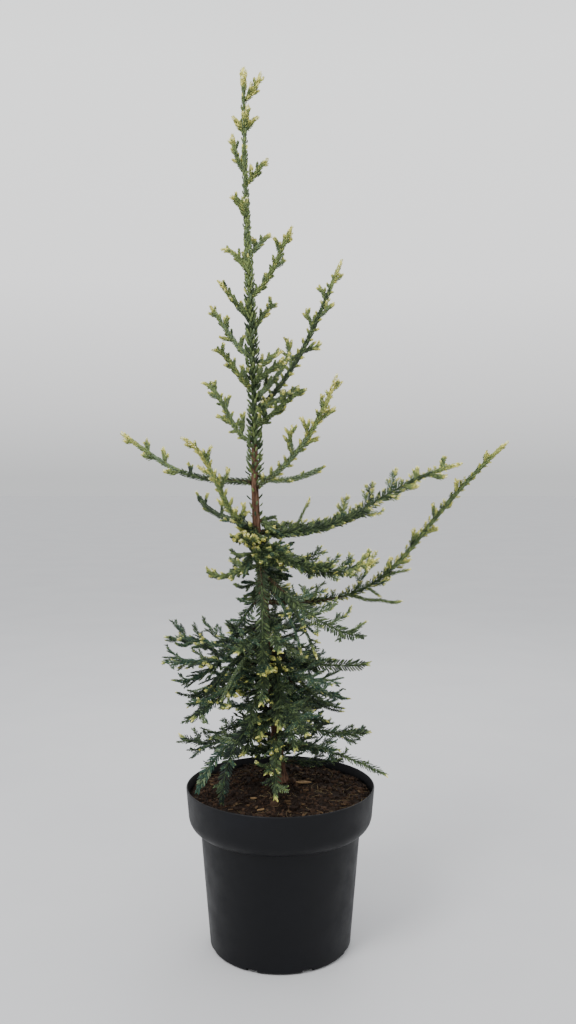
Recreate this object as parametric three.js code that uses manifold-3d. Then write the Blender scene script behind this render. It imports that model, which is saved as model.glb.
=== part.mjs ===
// A young adpressa coast redwood in its round nursery pot: pot, soil, one whole trunk,
// tapering boughs, and masses of toothed needle sprays that branch by a seeded rule.
// Sizes are in millimetres. +X is to the right, +Y to the back and +Z up, and the
// origin is the centre of the pot's flat underside.
import * as THREE from 'three';
import Module from 'manifold-3d';

const wasm = await Module();
wasm.setup();

// The gap between pieces that touch, and the smallest edge that joining may leave.
const CLEARANCE = 0.3;
const SLIVER = 0.01;

// Driving dimensions of the pot.
const POT = {
  height: 220,
  rimRadius: 130,
  collarFootRadius: 127,
  collarFootHeight: 184,
  bodyTopRadius: 110.5,
  bodyTopHeight: 163,
  bodyFootRadius: 97.5,
  footRadius: 92,
  wall: 2.2,
  floor: 2.6,
  lipRound: 1.5,
  segments: 32,
  arcSteps: 3,
};
const DRAIN = { count: 8, width: 16, height: 5, inner: 84, outer: 110 };

// Driving dimensions of the soil, which fills the pot and rises to the trunk.
const SOIL = {
  edgeHeight: 205.5,
  crownHeight: 216,
  moundTop: 215,
  moundShape: 0.8,
  bump: 1.6,
  padRadius: 16,
  ringShares: [1, 0.72, 0.42],
  seed: 7,
};

// The trunk: its lean is given by a few places on its axis, and it tapers to the tip.
const PLANT_TOP = 1199;
const TRUNK = {
  foot: SOIL.crownHeight + CLEARANCE,
  top: 1176,
  axis: [
    new THREE.Vector3(-1, 22, 216),
    new THREE.Vector3(-10, 20, 340),
    new THREE.Vector3(-26, 16, 500),
    new THREE.Vector3(-35, 12, 610),
    new THREE.Vector3(-35.5, 9, 730),
    new THREE.Vector3(-42, 5, 900),
    new THREE.Vector3(-48, 4, 1060),
    new THREE.Vector3(-50, 4, PLANT_TOP),
  ],
  footRadius: 7.6,
  middleHeight: 610,
  middleRadius: 5.2,
  tipRadius: 1.5,
  flare: 5.5,
  flareHeight: 16,
  rootLobes: 5,
  lobeDepth: 0.28,
  sides: 10,
  flareRings: [0, 6, 13, 23, 42],
  rings: 17,
  curvePlaces: 400,
};

// How limbs, stems and sprays are drawn.
const LIMB = { rootShare: 0.6, tipRadius: 1.5, room: 2.1, sides: 6, step: 26 };
const SCALE_SPRAY = { width: 3.2, ridge: 2.3, notch: 0.5, spacing: 9 };
const FAN_SPRAY = { width: 6.8, ridge: 1.7, notch: 0.25, spacing: 12.5 };
const SPRAY = {
  fewestSteps: 3,
  sweep: 0.55,
  edgeDrop: 0.5,
  baseShare: 0.5,
  baseFade: 0.16,
  tipShare: 0.35,
  tipFade: 0.3,
};
const FORK = {
  first: 0.14,
  last: 0.93,
  afterLimb: 0.03,
  shortest: 0.45,
  spread: 0.5,
  leastAngle: 36,
  angleRange: 18,
  rise: 0.45,
  lowerShare: 0.8,
  rootShare: 0.15,
  smallLength: 20,
  smallSize: 0.8,
};

// How much a spray that faces the back counts, against one that faces the front.
const BACK_VALUE = 0.6;

// Room kept between one mass and the next, and round the trunk, the pot and the soil.
const ROOM = { step: 5, gap: 0.6, trunk: 14, trunkShare: 0.4, pot: 1, potInside: 5 };

const COLOUR = {
  pot: 0x23262a,
  soil: 0x3a2a1e,
  bark: 0x7b5a45,
  youngNeedles: 0x6f8a3a,
  middleNeedles: 0x4e6b33,
  oldNeedles: 0x35553c,
};
const YOUNG_ABOVE = 700;
const OLD_BELOW = 450;
const GLOSS = { pot: 0.55, soil: 0.95, bark: 0.85, needles: 0.75 };

// Every shoot that leaves the trunk, stretch by stretch. at: its height on the trunk.
// turn: degrees round the trunk from +X toward +Y. out and up: how far out and up its tip
// is. leave and end: its slope in degrees at either end. bend: how strongly it curves.
// limb: length of bare bough before the foliage, where it has one. forks and fork: the
// count and length of its side shoots. tilt: degrees that its spray is turned up from
// level. fan: broad, flat rows of needles in place of close scales.
const SHOOT_GROUPS = [
  {
    group: 'leader',
    usual: { bend: 1, limb: 0, tilt: 55, fan: false },
    shoots: [
      { at: 1155, turn: -30, out: 26, up: 28, leave: 5, end: 70, forks: 1, fork: 12 },
      { at: 1116, turn: 25, out: 18, up: 18, leave: 0, end: 20, forks: 2, fork: 12 },
      { at: 1058, turn: 150, out: 20, up: 52, leave: 50, end: 85, forks: 2, fork: 16 },
      { at: 1042, turn: -35, out: 35, up: 26, leave: 20, end: 30, forks: 2, fork: 16 },
      { at: 997, turn: 215, out: 20, up: 25, leave: 40, end: 10, forks: 2, fork: 16 },
      { at: 951, turn: 30, out: 32, up: 28, leave: 10, end: 40, forks: 2, fork: 16 },
      { at: 924, turn: 160, out: 38, up: 34, leave: 50, end: 5, forks: 2, fork: 16 },
      { at: 890, turn: -25, out: 63, up: 88, leave: 25, end: 58, forks: 4, fork: 26 },
      { at: 861, turn: 205, out: 47, up: 47, leave: 35, end: 45, forks: 3, fork: 20 },
      { at: 841, turn: 40, out: 44, up: 46, leave: 55, end: 25, forks: 3, fork: 24 },
      { at: 807, turn: 150, out: 70, up: 78, leave: 30, end: 50, forks: 4, fork: 26 },
      { at: 767, turn: 220, out: 68, up: 46, leave: 5, end: -10, forks: 3, fork: 24 },
      { at: 794, turn: 20, out: 42, up: 24, leave: 5, end: 10, forks: 2, fork: 18 },
      { at: 773, turn: -45, out: 62, up: 23, leave: 20, end: -5, forks: 3, fork: 20 },
    ],
  },
  {
    group: 'middle',
    usual: { bend: 1, limb: 0, tilt: 42, fan: true },
    shoots: [
      { at: 734, turn: 35, out: 152, up: 227, leave: 36, end: 64, limb: 70, forks: 6, fork: 48, fan: false },
      { at: 714, turn: -45, out: 98, up: 45, leave: 15, end: 10, forks: 4, fork: 28, fan: false },
      { at: 695, turn: 140, out: 102, up: 86, leave: -5, end: 10, forks: 5, fork: 34, fan: false },
      { at: 631, turn: -35, out: 133, up: 146, leave: 22, end: 70, limb: 60, forks: 6, fork: 40, fan: false },
      { at: 648, turn: 20, out: 104, up: 12, leave: -25, end: 30, forks: 4, fork: 24 },
      { at: 638, turn: 160, out: 208, up: 70, leave: 2, end: 34, bend: 1.5, limb: 80, forks: 6, fork: 36 },
      { at: 574, turn: 132, out: 140, up: 48, leave: 15, end: 55, forks: 5, fork: 30 },
      { at: 566, turn: 215, out: 118, up: 130, leave: 10, end: 20, forks: 6, fork: 36, fan: false },
      { at: 568, turn: 22, out: 328, up: 97, leave: 0, end: 14, bend: 1.6, limb: 110, forks: 9, fork: 48 },
      { at: 549, turn: -28, out: 178, up: -11, leave: -14, end: 28, bend: 1.5, limb: 50, forks: 8, fork: 44 },
      { at: 553, turn: 256, out: 66, up: 16, leave: 5, end: 50, forks: 4, fork: 26, fan: false },
      { at: 512, turn: -44, out: 184, up: -68, leave: -25, end: 0, bend: 1.2, limb: 55, forks: 7, fork: 48 },
      { at: 521, turn: 195, out: 76, up: 0, leave: 0, end: 60, bend: 1.4, forks: 4, fork: 28, fan: false },
      { at: 471, turn: -18, out: 330, up: 218, leave: 0, end: 42, bend: 1.6, limb: 110, forks: 11, fork: 56 },
      { at: 528, turn: 276, out: 54, up: -142, leave: -15, end: -78, forks: 6, fork: 22, tilt: 0 },
      { at: 500, turn: 78, out: 160, up: 35, leave: 5, end: 30, limb: 50, forks: 6, fork: 48 },
    ],
  },
  {
    group: 'low',
    usual: { bend: 1, limb: 0, tilt: 26, fan: true },
    shoots: [
      { at: 472, turn: 235, out: 76, up: -34, leave: 25, end: -10, forks: 4, fork: 40 },
      { at: 424, turn: 250, out: 108, up: -6, leave: 20, end: -15, forks: 7, fork: 48 },
      { at: 403, turn: 180, out: 144, up: 18, leave: 0, end: 5, forks: 8, fork: 60 },
      { at: 392, turn: -10, out: 138, up: -4, leave: -10, end: 8, forks: 8, fork: 54 },
      { at: 386, turn: 208, out: 158, up: 14, leave: 10, end: 5, forks: 8, fork: 52 },
      { at: 376, turn: -48, out: 122, up: -2, leave: 5, end: 0, forks: 8, fork: 52 },
      { at: 440, turn: 58, out: 140, up: 26, leave: 10, end: 10, forks: 8, fork: 60 },
      { at: 362, turn: 228, out: 150, up: -28, leave: 25, end: -20, forks: 8, fork: 52 },
      { at: 350, turn: 22, out: 110, up: -24, leave: 0, end: -20, forks: 8, fork: 48 },
      { at: 334, turn: 292, out: 118, up: -20, leave: 15, end: -20, forks: 7, fork: 48 },
      { at: 350, turn: 120, out: 160, up: 0, leave: 10, end: 0, forks: 7, fork: 60 },
      { at: 285, turn: 270, out: 98, up: -58, leave: 15, end: -60, forks: 5, fork: 38 },
      { at: 297, turn: -12, out: 132, up: -3, leave: 5, end: 18, forks: 8, fork: 48 },
      { at: 281, turn: 168, out: 142, up: -8, leave: 10, end: 25, bend: 1.4, forks: 8, fork: 46 },
      { at: 304, turn: 150, out: 144, up: -76, leave: -10, end: -45, bend: 1.3, forks: 5, fork: 36 },
      { at: 310, turn: 236, out: 122, up: -88, leave: 5, end: -85, bend: 1.4, forks: 5, fork: 36 },
      { at: 318, turn: 62, out: 150, up: -30, leave: 10, end: -15, forks: 8, fork: 60 },
      { at: 266, turn: -26, out: 162, up: -18, leave: 15, end: -18, forks: 8, fork: 46 },
    ],
  },
];
const SHOOTS = SHOOT_GROUPS.flatMap(({ group, usual, shoots }) => (
  shoots.map((shoot, index) => ({ ...usual, ...shoot, name: `${group}_${index + 1}` }))
));

const UP = new THREE.Vector3(0, 0, 1);
const FRONT = new THREE.Vector3(0, -1, 0);
const MIDDLE = 0.5;

// Corners nearer than this number of decimals of a millimetre are one corner.
const CORNER_DECIMALS = 4;

// One seeded stream of numbers between 0 and 1, by the well-known rule that multiplies
// and adds within 32 bits.
const STREAM = { times: 1664525, plus: 1013904223, range: 2 ** 32 };

function seededDraw(seed) {
  let state = seed >>> 0;
  return () => {
    state = (Math.imul(STREAM.times, state) + STREAM.plus) >>> 0;
    return state / STREAM.range;
  };
}

function radians(degrees) {
  return THREE.MathUtils.degToRad(degrees);
}

// Closed rings of points, one after another, become one closed body with flat ends.
// A ring of a single point makes that end a tip.
function closedBody(rings) {
  const positions = [];
  const starts = [];
  for (const ring of rings) {
    starts.push(positions.length / 3);
    for (const point of ring) {
      positions.push(point.x, point.y, point.z);
    }
  }
  const faces = [];
  for (let k = 0; k + 1 < rings.length; k += 1) {
    const near = rings[k].length;
    const far = rings[k + 1].length;
    const count = Math.max(near, far);
    for (let i = 0; i < count; i += 1) {
      const next = (i + 1) % count;
      const a = starts[k] + (i % near);
      const b = starts[k] + (next % near);
      const c = starts[k + 1] + (i % far);
      const d = starts[k + 1] + (next % far);
      if (near > 1) {
        faces.push(a, b, far > 1 ? d : c);
      }
      if (far > 1) {
        faces.push(a, d, c);
      }
    }
  }
  capRing(faces, starts[0], rings[0].length, true);
  capRing(faces, starts[rings.length - 1], rings[rings.length - 1].length, false);
  const geometry = new THREE.BufferGeometry();
  geometry.setAttribute('position', new THREE.Float32BufferAttribute(positions, 3));
  geometry.setIndex(faces);
  return geometry;
}

function capRing(faces, start, count, first) {
  for (let i = 1; i + 1 < count; i += 1) {
    if (first) {
      faces.push(start, start + i + 1, start + i);
    } else {
      faces.push(start, start + i, start + i + 1);
    }
  }
}

function toSolid(geometry) {
  return new wasm.Manifold(new wasm.Mesh({
    numProp: 3,
    vertProperties: new Float32Array(geometry.attributes.position.array),
    triVerts: new Uint32Array(geometry.index.array),
  }));
}

function toGeometry(solid) {
  const mesh = solid.getMesh();
  const geometry = new THREE.BufferGeometry();
  geometry.setAttribute('position', new THREE.BufferAttribute(new Float32Array(mesh.vertProperties), 3));
  geometry.setIndex(new THREE.BufferAttribute(new Uint32Array(mesh.triVerts), 1));
  return geometry;
}

// The largest piece of a solid, without loose scraps or slivers left by joining.
function largestPiece(solid) {
  const pieces = solid.simplify(SLIVER).decompose();
  pieces.sort((a, b) => b.volume() - a.volume());
  return pieces[0];
}

function namedMesh(name, geometry, colour, roughness) {
  const shown = geometry.index ? geometry.toNonIndexed() : geometry;
  shown.computeVertexNormals();
  const mesh = new THREE.Mesh(shown, new THREE.MeshStandardMaterial({
    color: colour,
    roughness,
    metalness: 0,
  }));
  mesh.name = name;
  return mesh;
}

// A round body from an outline of radius and height pairs, each a ring about the axis.
function roundBody(outline, segments) {
  const rings = outline.map(([radius, height]) => {
    const ring = [];
    for (let i = 0; i < segments; i += 1) {
      const angle = (2 * Math.PI * i) / segments;
      ring.push(new THREE.Vector3(radius * Math.cos(angle), radius * Math.sin(angle), height));
    }
    return ring;
  });
  return closedBody(rings);
}

// Outline points along a quarter of an ellipse from straight below its centre to its
// outer side, or from there to straight above it.
function quarterArc(radius, height, across, up, below) {
  const points = [];
  for (let k = 1; k < POT.arcSteps; k += 1) {
    const angle = (Math.PI / 2) * (k / POT.arcSteps);
    const out = below ? Math.sin(angle) : Math.cos(angle);
    const rise = below ? -Math.cos(angle) : Math.sin(angle);
    points.push([radius + across * out, height + up * rise]);
  }
  return points;
}

// The pot's side between its rounded foot and its collar's top.
function potSide() {
  return [
    [POT.bodyFootRadius, POT.bodyFootRadius - POT.footRadius],
    [POT.bodyTopRadius, POT.bodyTopHeight],
    ...quarterArc(
      POT.bodyTopRadius,
      POT.collarFootHeight,
      POT.collarFootRadius - POT.bodyTopRadius,
      POT.collarFootHeight - POT.bodyTopHeight,
      true,
    ),
    [POT.collarFootRadius, POT.collarFootHeight],
  ];
}

// The pot's outer outline from its foot to its lip.
function potOuterOutline() {
  const footRound = POT.bodyFootRadius - POT.footRadius;
  const lipTop = POT.height - POT.lipRound;
  return [
    [POT.footRadius, 0],
    ...quarterArc(POT.footRadius, footRound, footRound, footRound, true),
    ...potSide(),
    [POT.rimRadius, lipTop],
    ...quarterArc(POT.rimRadius - POT.lipRound, lipTop, POT.lipRound, POT.lipRound, false),
    [POT.rimRadius - POT.lipRound, POT.height],
  ];
}

// The pot's inner outline from its floor to above its lip, one wall inside the outer one.
function potInnerOutline() {
  const rimInside = POT.rimRadius - POT.wall;
  return [
    [POT.footRadius - POT.wall, POT.floor],
    ...potSide().map(([radius, height]) => [radius - POT.wall, height]),
    [rimInside, POT.height],
    [rimInside, POT.height + POT.wall],
  ];
}

function potSolid() {
  const outer = toSolid(roundBody(potOuterOutline(), POT.segments));
  let pot = outer.subtract(toSolid(roundBody(potInnerOutline(), POT.segments)));
  for (let i = 0; i < DRAIN.count; i += 1) {
    const length = DRAIN.outer - DRAIN.inner;
    const slot = new THREE.BoxGeometry(length, DRAIN.width, 2 * DRAIN.height);
    slot.translate(DRAIN.inner + length / 2, 0, 0);
    slot.rotateZ((2 * Math.PI * (i + 0.5)) / DRAIN.count);
    pot = pot.subtract(boxSolid(slot));
  }
  return largestPiece(pot);
}

// A box geometry has four corners on each face, so its shared corners are joined by place.
function boxSolid(box) {
  const places = box.attributes.position;
  const corners = [];
  const cornerOf = [];
  const found = new Map();
  for (let i = 0; i < places.count; i += 1) {
    const corner = [places.getX(i), places.getY(i), places.getZ(i)];
    const key = corner.map((value) => value.toFixed(CORNER_DECIMALS)).join(' ');
    if (!found.has(key)) {
      found.set(key, corners.length / 3);
      corners.push(...corner);
    }
    cornerOf.push(found.get(key));
  }
  const geometry = new THREE.BufferGeometry();
  geometry.setAttribute('position', new THREE.Float32BufferAttribute(corners, 3));
  geometry.setIndex([...box.index.array].map((i) => cornerOf[i]));
  return toSolid(geometry);
}

// The soil fills the pot just inside its wall, and its top is a bumpy mound with a level
// pad under the trunk.
function soilGeometry() {
  const draw = seededDraw(SOIL.seed);
  const inner = potInnerOutline();
  const insideWall = 2 * CLEARANCE;
  const rings = inner
    .filter(([, height]) => height < SOIL.edgeHeight)
    .map(([radius, height]) => levelRing(0, 0, radius - insideWall, height + CLEARANCE));
  const edgeRadius = innerRadiusAt(inner, SOIL.edgeHeight) - insideWall;
  const { x: centreX, y: centreY } = TRUNK.axis[0];
  for (const share of SOIL.ringShares) {
    const mound = (SOIL.moundTop - SOIL.edgeHeight) * (1 - share) ** SOIL.moundShape;
    const ring = levelRing(centreX * (1 - share), centreY * (1 - share), edgeRadius * share, SOIL.edgeHeight);
    if (share < 1) {
      ring.forEach((point) => {
        point.z = Math.min(point.z + mound + SOIL.bump * (2 * draw() - 1), SOIL.moundTop);
      });
    }
    rings.push(ring);
  }
  rings.push(levelRing(centreX, centreY, SOIL.padRadius, SOIL.crownHeight));
  return closedBody(rings);
}

function levelRing(x, y, radius, height) {
  const ring = [];
  for (let i = 0; i < POT.segments; i += 1) {
    const angle = (2 * Math.PI * i) / POT.segments;
    ring.push(new THREE.Vector3(x + radius * Math.cos(angle), y + radius * Math.sin(angle), height));
  }
  return ring;
}

function innerRadiusAt(outline, height) {
  for (let k = 0; k + 1 < outline.length; k += 1) {
    const [r0, z0] = outline[k];
    const [r1, z1] = outline[k + 1];
    if (height >= z0 && height <= z1) {
      return r0 + ((r1 - r0) * (height - z0)) / (z1 - z0);
    }
  }
  return outline[outline.length - 1][0];
}

// The trunk's axis by height.
const trunkCurve = new THREE.CatmullRomCurve3(TRUNK.axis);
const trunkPlaces = trunkCurve.getPoints(TRUNK.curvePlaces);

function trunkAxis(height) {
  let k = 0;
  while (k + 2 < trunkPlaces.length && trunkPlaces[k + 1].z < height) {
    k += 1;
  }
  const low = trunkPlaces[k];
  const high = trunkPlaces[k + 1];
  const share = THREE.MathUtils.clamp((height - low.z) / (high.z - low.z), 0, 1);
  const place = low.clone().lerp(high, share);
  place.z = height;
  return place;
}

// The trunk tapers in two straight stretches, and swells at its foot.
function trunkRadius(height) {
  if (height < TRUNK.middleHeight) {
    const share = (height - TRUNK.foot) / (TRUNK.middleHeight - TRUNK.foot);
    return THREE.MathUtils.lerp(TRUNK.footRadius, TRUNK.middleRadius, share);
  }
  const share = (height - TRUNK.middleHeight) / (TRUNK.top - TRUNK.middleHeight);
  return THREE.MathUtils.lerp(TRUNK.middleRadius, TRUNK.tipRadius, share);
}

// Level rings up the trunk, each wider by the given margin all round.
function trunkGeometry(margin) {
  const heights = TRUNK.flareRings.map((above) => TRUNK.foot + above);
  const start = heights[heights.length - 1];
  for (let k = 1; k <= TRUNK.rings; k += 1) {
    heights.push(THREE.MathUtils.lerp(start, TRUNK.top, k / TRUNK.rings));
  }
  const rings = heights.map((height) => {
    const centre = trunkAxis(height);
    const swell = TRUNK.flare * Math.exp(-(height - TRUNK.foot) / TRUNK.flareHeight);
    const ring = [];
    for (let i = 0; i < TRUNK.sides; i += 1) {
      const angle = (2 * Math.PI * i) / TRUNK.sides;
      const lobe = 1 + TRUNK.lobeDepth * Math.cos(TRUNK.rootLobes * angle);
      const radius = trunkRadius(height) + swell * lobe + margin;
      ring.push(new THREE.Vector3(
        centre.x + radius * Math.cos(angle),
        centre.y + radius * Math.sin(angle),
        height,
      ));
    }
    return ring;
  });
  return closedBody(rings);
}

// A shoot's centre line leaves the trunk's axis at one slope and ends at another.
function shootCurve(shoot) {
  const outward = new THREE.Vector3(Math.cos(radians(shoot.turn)), Math.sin(radians(shoot.turn)), 0);
  const start = trunkAxis(shoot.at);
  const end = start.clone().addScaledVector(outward, shoot.out).addScaledVector(UP, shoot.up);
  const pull = (start.distanceTo(end) * shoot.bend) / 3;
  const slope = (degrees) => outward.clone().multiplyScalar(Math.cos(radians(degrees)))
    .addScaledVector(UP, Math.sin(radians(degrees)));
  return new THREE.CubicBezierCurve3(
    start,
    start.clone().addScaledVector(slope(shoot.leave), pull),
    end.clone().addScaledVector(slope(shoot.end), -pull),
    end,
  );
}

// Side and face directions of a spray about its centre line. Its tilt leans its face
// toward the front, or toward the back where that shows the spray much broader.
function sprayDirections(tangent, tilt) {
  const level = new THREE.Vector3().crossVectors(UP, tangent).normalize();
  const over = new THREE.Vector3().crossVectors(tangent, level).normalize();
  const leanings = [tilt, -tilt].map((degrees) => {
    const lean = radians(degrees);
    const side = level.clone().multiplyScalar(Math.cos(lean)).addScaledVector(over, Math.sin(lean));
    const face = new THREE.Vector3().crossVectors(tangent, side).normalize();
    const shown = face.y < 0 ? -face.y : face.y * BACK_VALUE;
    return { side, face, shown };
  });
  return leanings[0].shown >= leanings[1].shown ? leanings[0] : leanings[1];
}

// A toothed spray: a three-sided stem whose two edges stand out in turn, as needles do
// on either side of a shoot, each swept forward.
function sprayGeometry(curve, fromShare, face, form, size) {
  const total = curve.getLength();
  const start = total * fromShare;
  const length = total - start;
  const steps = Math.max(SPRAY.fewestSteps, Math.round(length / (form.spacing * size)));
  const spacing = length / steps;
  const rings = [];
  for (let k = 0; k < steps; k += 1) {
    const share = k / steps;
    const filled = Math.min(1, SPRAY.baseShare + share / SPRAY.baseFade);
    const ended = Math.min(1, SPRAY.tipShare + (1 - share) / SPRAY.tipFade);
    const width = form.width * size * filled * ended;
    const ridge = form.ridge * size * ended;
    const leftWidth = k > 0 && k % 2 === 1 ? width : width * form.notch;
    const rightWidth = k > 0 && k % 2 === 0 ? width : width * form.notch;
    const stem = frameAt(curve, (start + k * spacing) / total, face);
    const ahead = k > 0 ? SPRAY.sweep * spacing : 0;
    const swept = frameAt(curve, Math.min(1, (start + k * spacing + ahead) / total), face);
    const left = leftWidth === width ? swept : stem;
    const right = rightWidth === width ? swept : stem;
    const drop = -ridge * SPRAY.edgeDrop;
    rings.push([
      stem.place.clone().addScaledVector(stem.face, ridge),
      left.place.clone().addScaledVector(left.side, -leftWidth).addScaledVector(left.face, drop),
      right.place.clone().addScaledVector(right.side, rightWidth).addScaledVector(right.face, drop),
    ]);
  }
  rings.push([curve.getPointAt(1)]);
  return closedBody(rings);
}

function frameAt(curve, share, face) {
  const place = curve.getPointAt(share);
  const tangent = curve.getTangentAt(share);
  const side = new THREE.Vector3().crossVectors(face, tangent).normalize();
  return { place, side, face: new THREE.Vector3().crossVectors(tangent, side).normalize() };
}

// Side shoots alternate along the foliage, shorter toward its tip, and turn upward.
function forkCurves(shoot, curve, fromShare, draw) {
  const forks = [];
  const first = Math.max(FORK.first, fromShare + FORK.afterLimb);
  for (let i = 0; i < shoot.forks; i += 1) {
    const along = first + ((FORK.last - first) * (i + 0.25 + 0.5 * draw())) / shoot.forks;
    const upper = i % 2 === 0;
    const grown = 1 - (1 - FORK.shortest) * ((along - first) / (1 - first));
    const length = shoot.fork * grown * (1 - FORK.spread / 2 + FORK.spread * draw())
      * (upper ? 1 : FORK.lowerShare);
    const angle = radians(FORK.leastAngle + FORK.angleRange * draw());
    const tangent = curve.getTangentAt(along);
    const { side, face } = sprayDirections(tangent, shoot.tilt);
    const sideways = (side.z < 0) === upper ? -1 : 1;
    const leaving = tangent.clone().multiplyScalar(Math.cos(angle))
      .addScaledVector(side, sideways * Math.sin(angle));
    const ending = leaving.clone().addScaledVector(UP, FORK.rise).normalize();
    const root = curve.getPointAt(along);
    const middle = root.clone().addScaledVector(leaving, length / 2);
    const tip = middle.clone().addScaledVector(ending, length / 2);
    forks.push({ curve: new THREE.QuadraticBezierCurve3(root, middle, tip), face, length });
  }
  return forks;
}

// A tapering limb of bare wood along the first stretch of a shoot.
function limbGeometry(curve, toShare, rootRadius) {
  const total = curve.getLength();
  const length = total * toShare;
  const steps = Math.max(2, Math.round(length / LIMB.step));
  const rings = [];
  for (let k = 0; k <= steps; k += 1) {
    const share = (toShare * k) / steps;
    const { place, side, face } = frameAt(curve, share, UP);
    const radius = THREE.MathUtils.lerp(rootRadius, LIMB.tipRadius, k / steps);
    const ring = [];
    for (let i = 0; i < LIMB.sides; i += 1) {
      const angle = (2 * Math.PI * i) / LIMB.sides;
      ring.push(place.clone()
        .addScaledVector(side, radius * Math.cos(angle))
        .addScaledVector(face, radius * Math.sin(angle)));
    }
    rings.push(ring);
  }
  return closedBody(rings);
}

// Places along a centre line with the room taken up round each.
function roomAlong(curve, fromShare, toShare, radius, owner) {
  const length = curve.getLength() * (toShare - fromShare);
  const steps = Math.max(1, Math.ceil(length / ROOM.step));
  const room = [];
  for (let k = 0; k <= steps; k += 1) {
    const share = fromShare + ((toShare - fromShare) * k) / steps;
    room.push({ place: curve.getPointAt(share), radius, owner });
  }
  return room;
}

function touches(room, taken) {
  return room.some((one) => taken.some((other) => {
    if (one.owner === other.owner) {
      return false;
    }
    return one.place.distanceTo(other.place) < one.radius + other.radius + ROOM.gap;
  }));
}

// Whether a side shoot would meet the pot's wall or the soil.
function meetsPot(room) {
  return room.some(({ place, radius }) => {
    const out = Math.hypot(place.x, place.y);
    if (out > POT.rimRadius + radius + ROOM.pot || place.z > POT.height + radius + ROOM.pot) {
      return false;
    }
    const overSoil = out < POT.rimRadius - radius - ROOM.potInside;
    return !overSoil || place.z < SOIL.crownHeight + radius;
  });
}

function foliageColour(height) {
  if (height > YOUNG_ABOVE) {
    return COLOUR.youngNeedles;
  }
  return height > OLD_BELOW ? COLOUR.middleNeedles : COLOUR.oldNeedles;
}

const plant = new THREE.Group();
plant.name = 'potted_coast_redwood';
plant.add(namedMesh('pot', toGeometry(potSolid()), COLOUR.pot, GLOSS.pot));
plant.add(namedMesh('soil', soilGeometry(), COLOUR.soil, GLOSS.soil));
plant.add(namedMesh('trunk', trunkGeometry(0), COLOUR.bark, GLOSS.bark));

// Everything that meets the trunk is cut one clearance outside it.
const trunkRoom = toSolid(trunkGeometry(CLEARANCE));

// Limbs and stems take their room first, so that side shoots keep clear of all of them.
const taken = [];
for (let height = TRUNK.foot; height < TRUNK.top; height += ROOM.step) {
  taken.push({ place: trunkAxis(height), radius: trunkRadius(height), owner: 'trunk' });
}
const stems = SHOOTS.map((shoot, index) => {
  const curve = shootCurve(shoot);
  const total = curve.getLength();
  const limbShare = shoot.limb / total;
  const fromShare = shoot.limb ? limbShare + CLEARANCE / total : 0;
  const form = shoot.fan ? FAN_SPRAY : SCALE_SPRAY;
  const clearOfTrunk = Math.min(ROOM.trunkShare, ROOM.trunk / total);
  if (shoot.limb) {
    taken.push(...roomAlong(curve, clearOfTrunk, limbShare, LIMB.room, shoot.name));
  }
  taken.push(...roomAlong(curve, Math.max(fromShare, clearOfTrunk), 1, form.width, shoot.name));
  return { shoot, curve, limbShare, fromShare, form, draw: seededDraw(index + 1) };
});

for (const { shoot, curve, limbShare, fromShare, form, draw } of stems) {
  if (shoot.limb) {
    const rootRadius = trunkRadius(shoot.at) * LIMB.rootShare;
    const limb = toSolid(limbGeometry(curve, limbShare, rootRadius)).subtract(trunkRoom);
    plant.add(namedMesh(`bough_${shoot.name}`, toGeometry(largestPiece(limb)), COLOUR.bark, GLOSS.bark));
  }
  const { face } = sprayDirections(curve.getTangentAt(MIDDLE), shoot.tilt);
  let mass = toSolid(sprayGeometry(curve, fromShare, face, form, 1));
  for (const fork of forkCurves(shoot, curve, fromShare, draw)) {
    const size = fork.length < FORK.smallLength ? FORK.smallSize : 1;
    const room = roomAlong(fork.curve, FORK.rootShare, 1, form.width * size, shoot.name);
    if (!touches(room, taken) && !meetsPot(room)) {
      taken.push(...room);
      mass = mass.add(toSolid(sprayGeometry(fork.curve, 0, fork.face, form, size)));
    }
  }
  mass = largestPiece(mass.subtract(trunkRoom));
  plant.add(namedMesh(`foliage_${shoot.name}`, toGeometry(mass), foliageColour(shoot.at), GLOSS.needles));
}

// The leader's blunt tip of young needles stands on the end of the trunk.
const leaderTip = new THREE.LineCurve3(trunkAxis(TRUNK.top + CLEARANCE), trunkAxis(PLANT_TOP));
plant.add(namedMesh(
  'foliage_leader_tip',
  sprayGeometry(leaderTip, 0, FRONT, SCALE_SPRAY, 1),
  COLOUR.youngNeedles,
  GLOSS.needles,
));

export default plant;
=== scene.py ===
"""A young adpressa coast redwood in its round nursery pot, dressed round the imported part.

Shapes are worked out in millimetres in the part's own frame, with +X to the right, +Y to
the back and +Z up, and become metres when a mesh is made. The trunk and its shoots follow
the part's own rule of growth, which is carried on here to finer twigs and needles.
"""

from collections import namedtuple
from functools import partial
from math import cos, degrees, hypot, pi, radians, sin, sqrt

import bmesh
import bpy
import numpy as np
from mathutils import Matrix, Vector, noise


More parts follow.
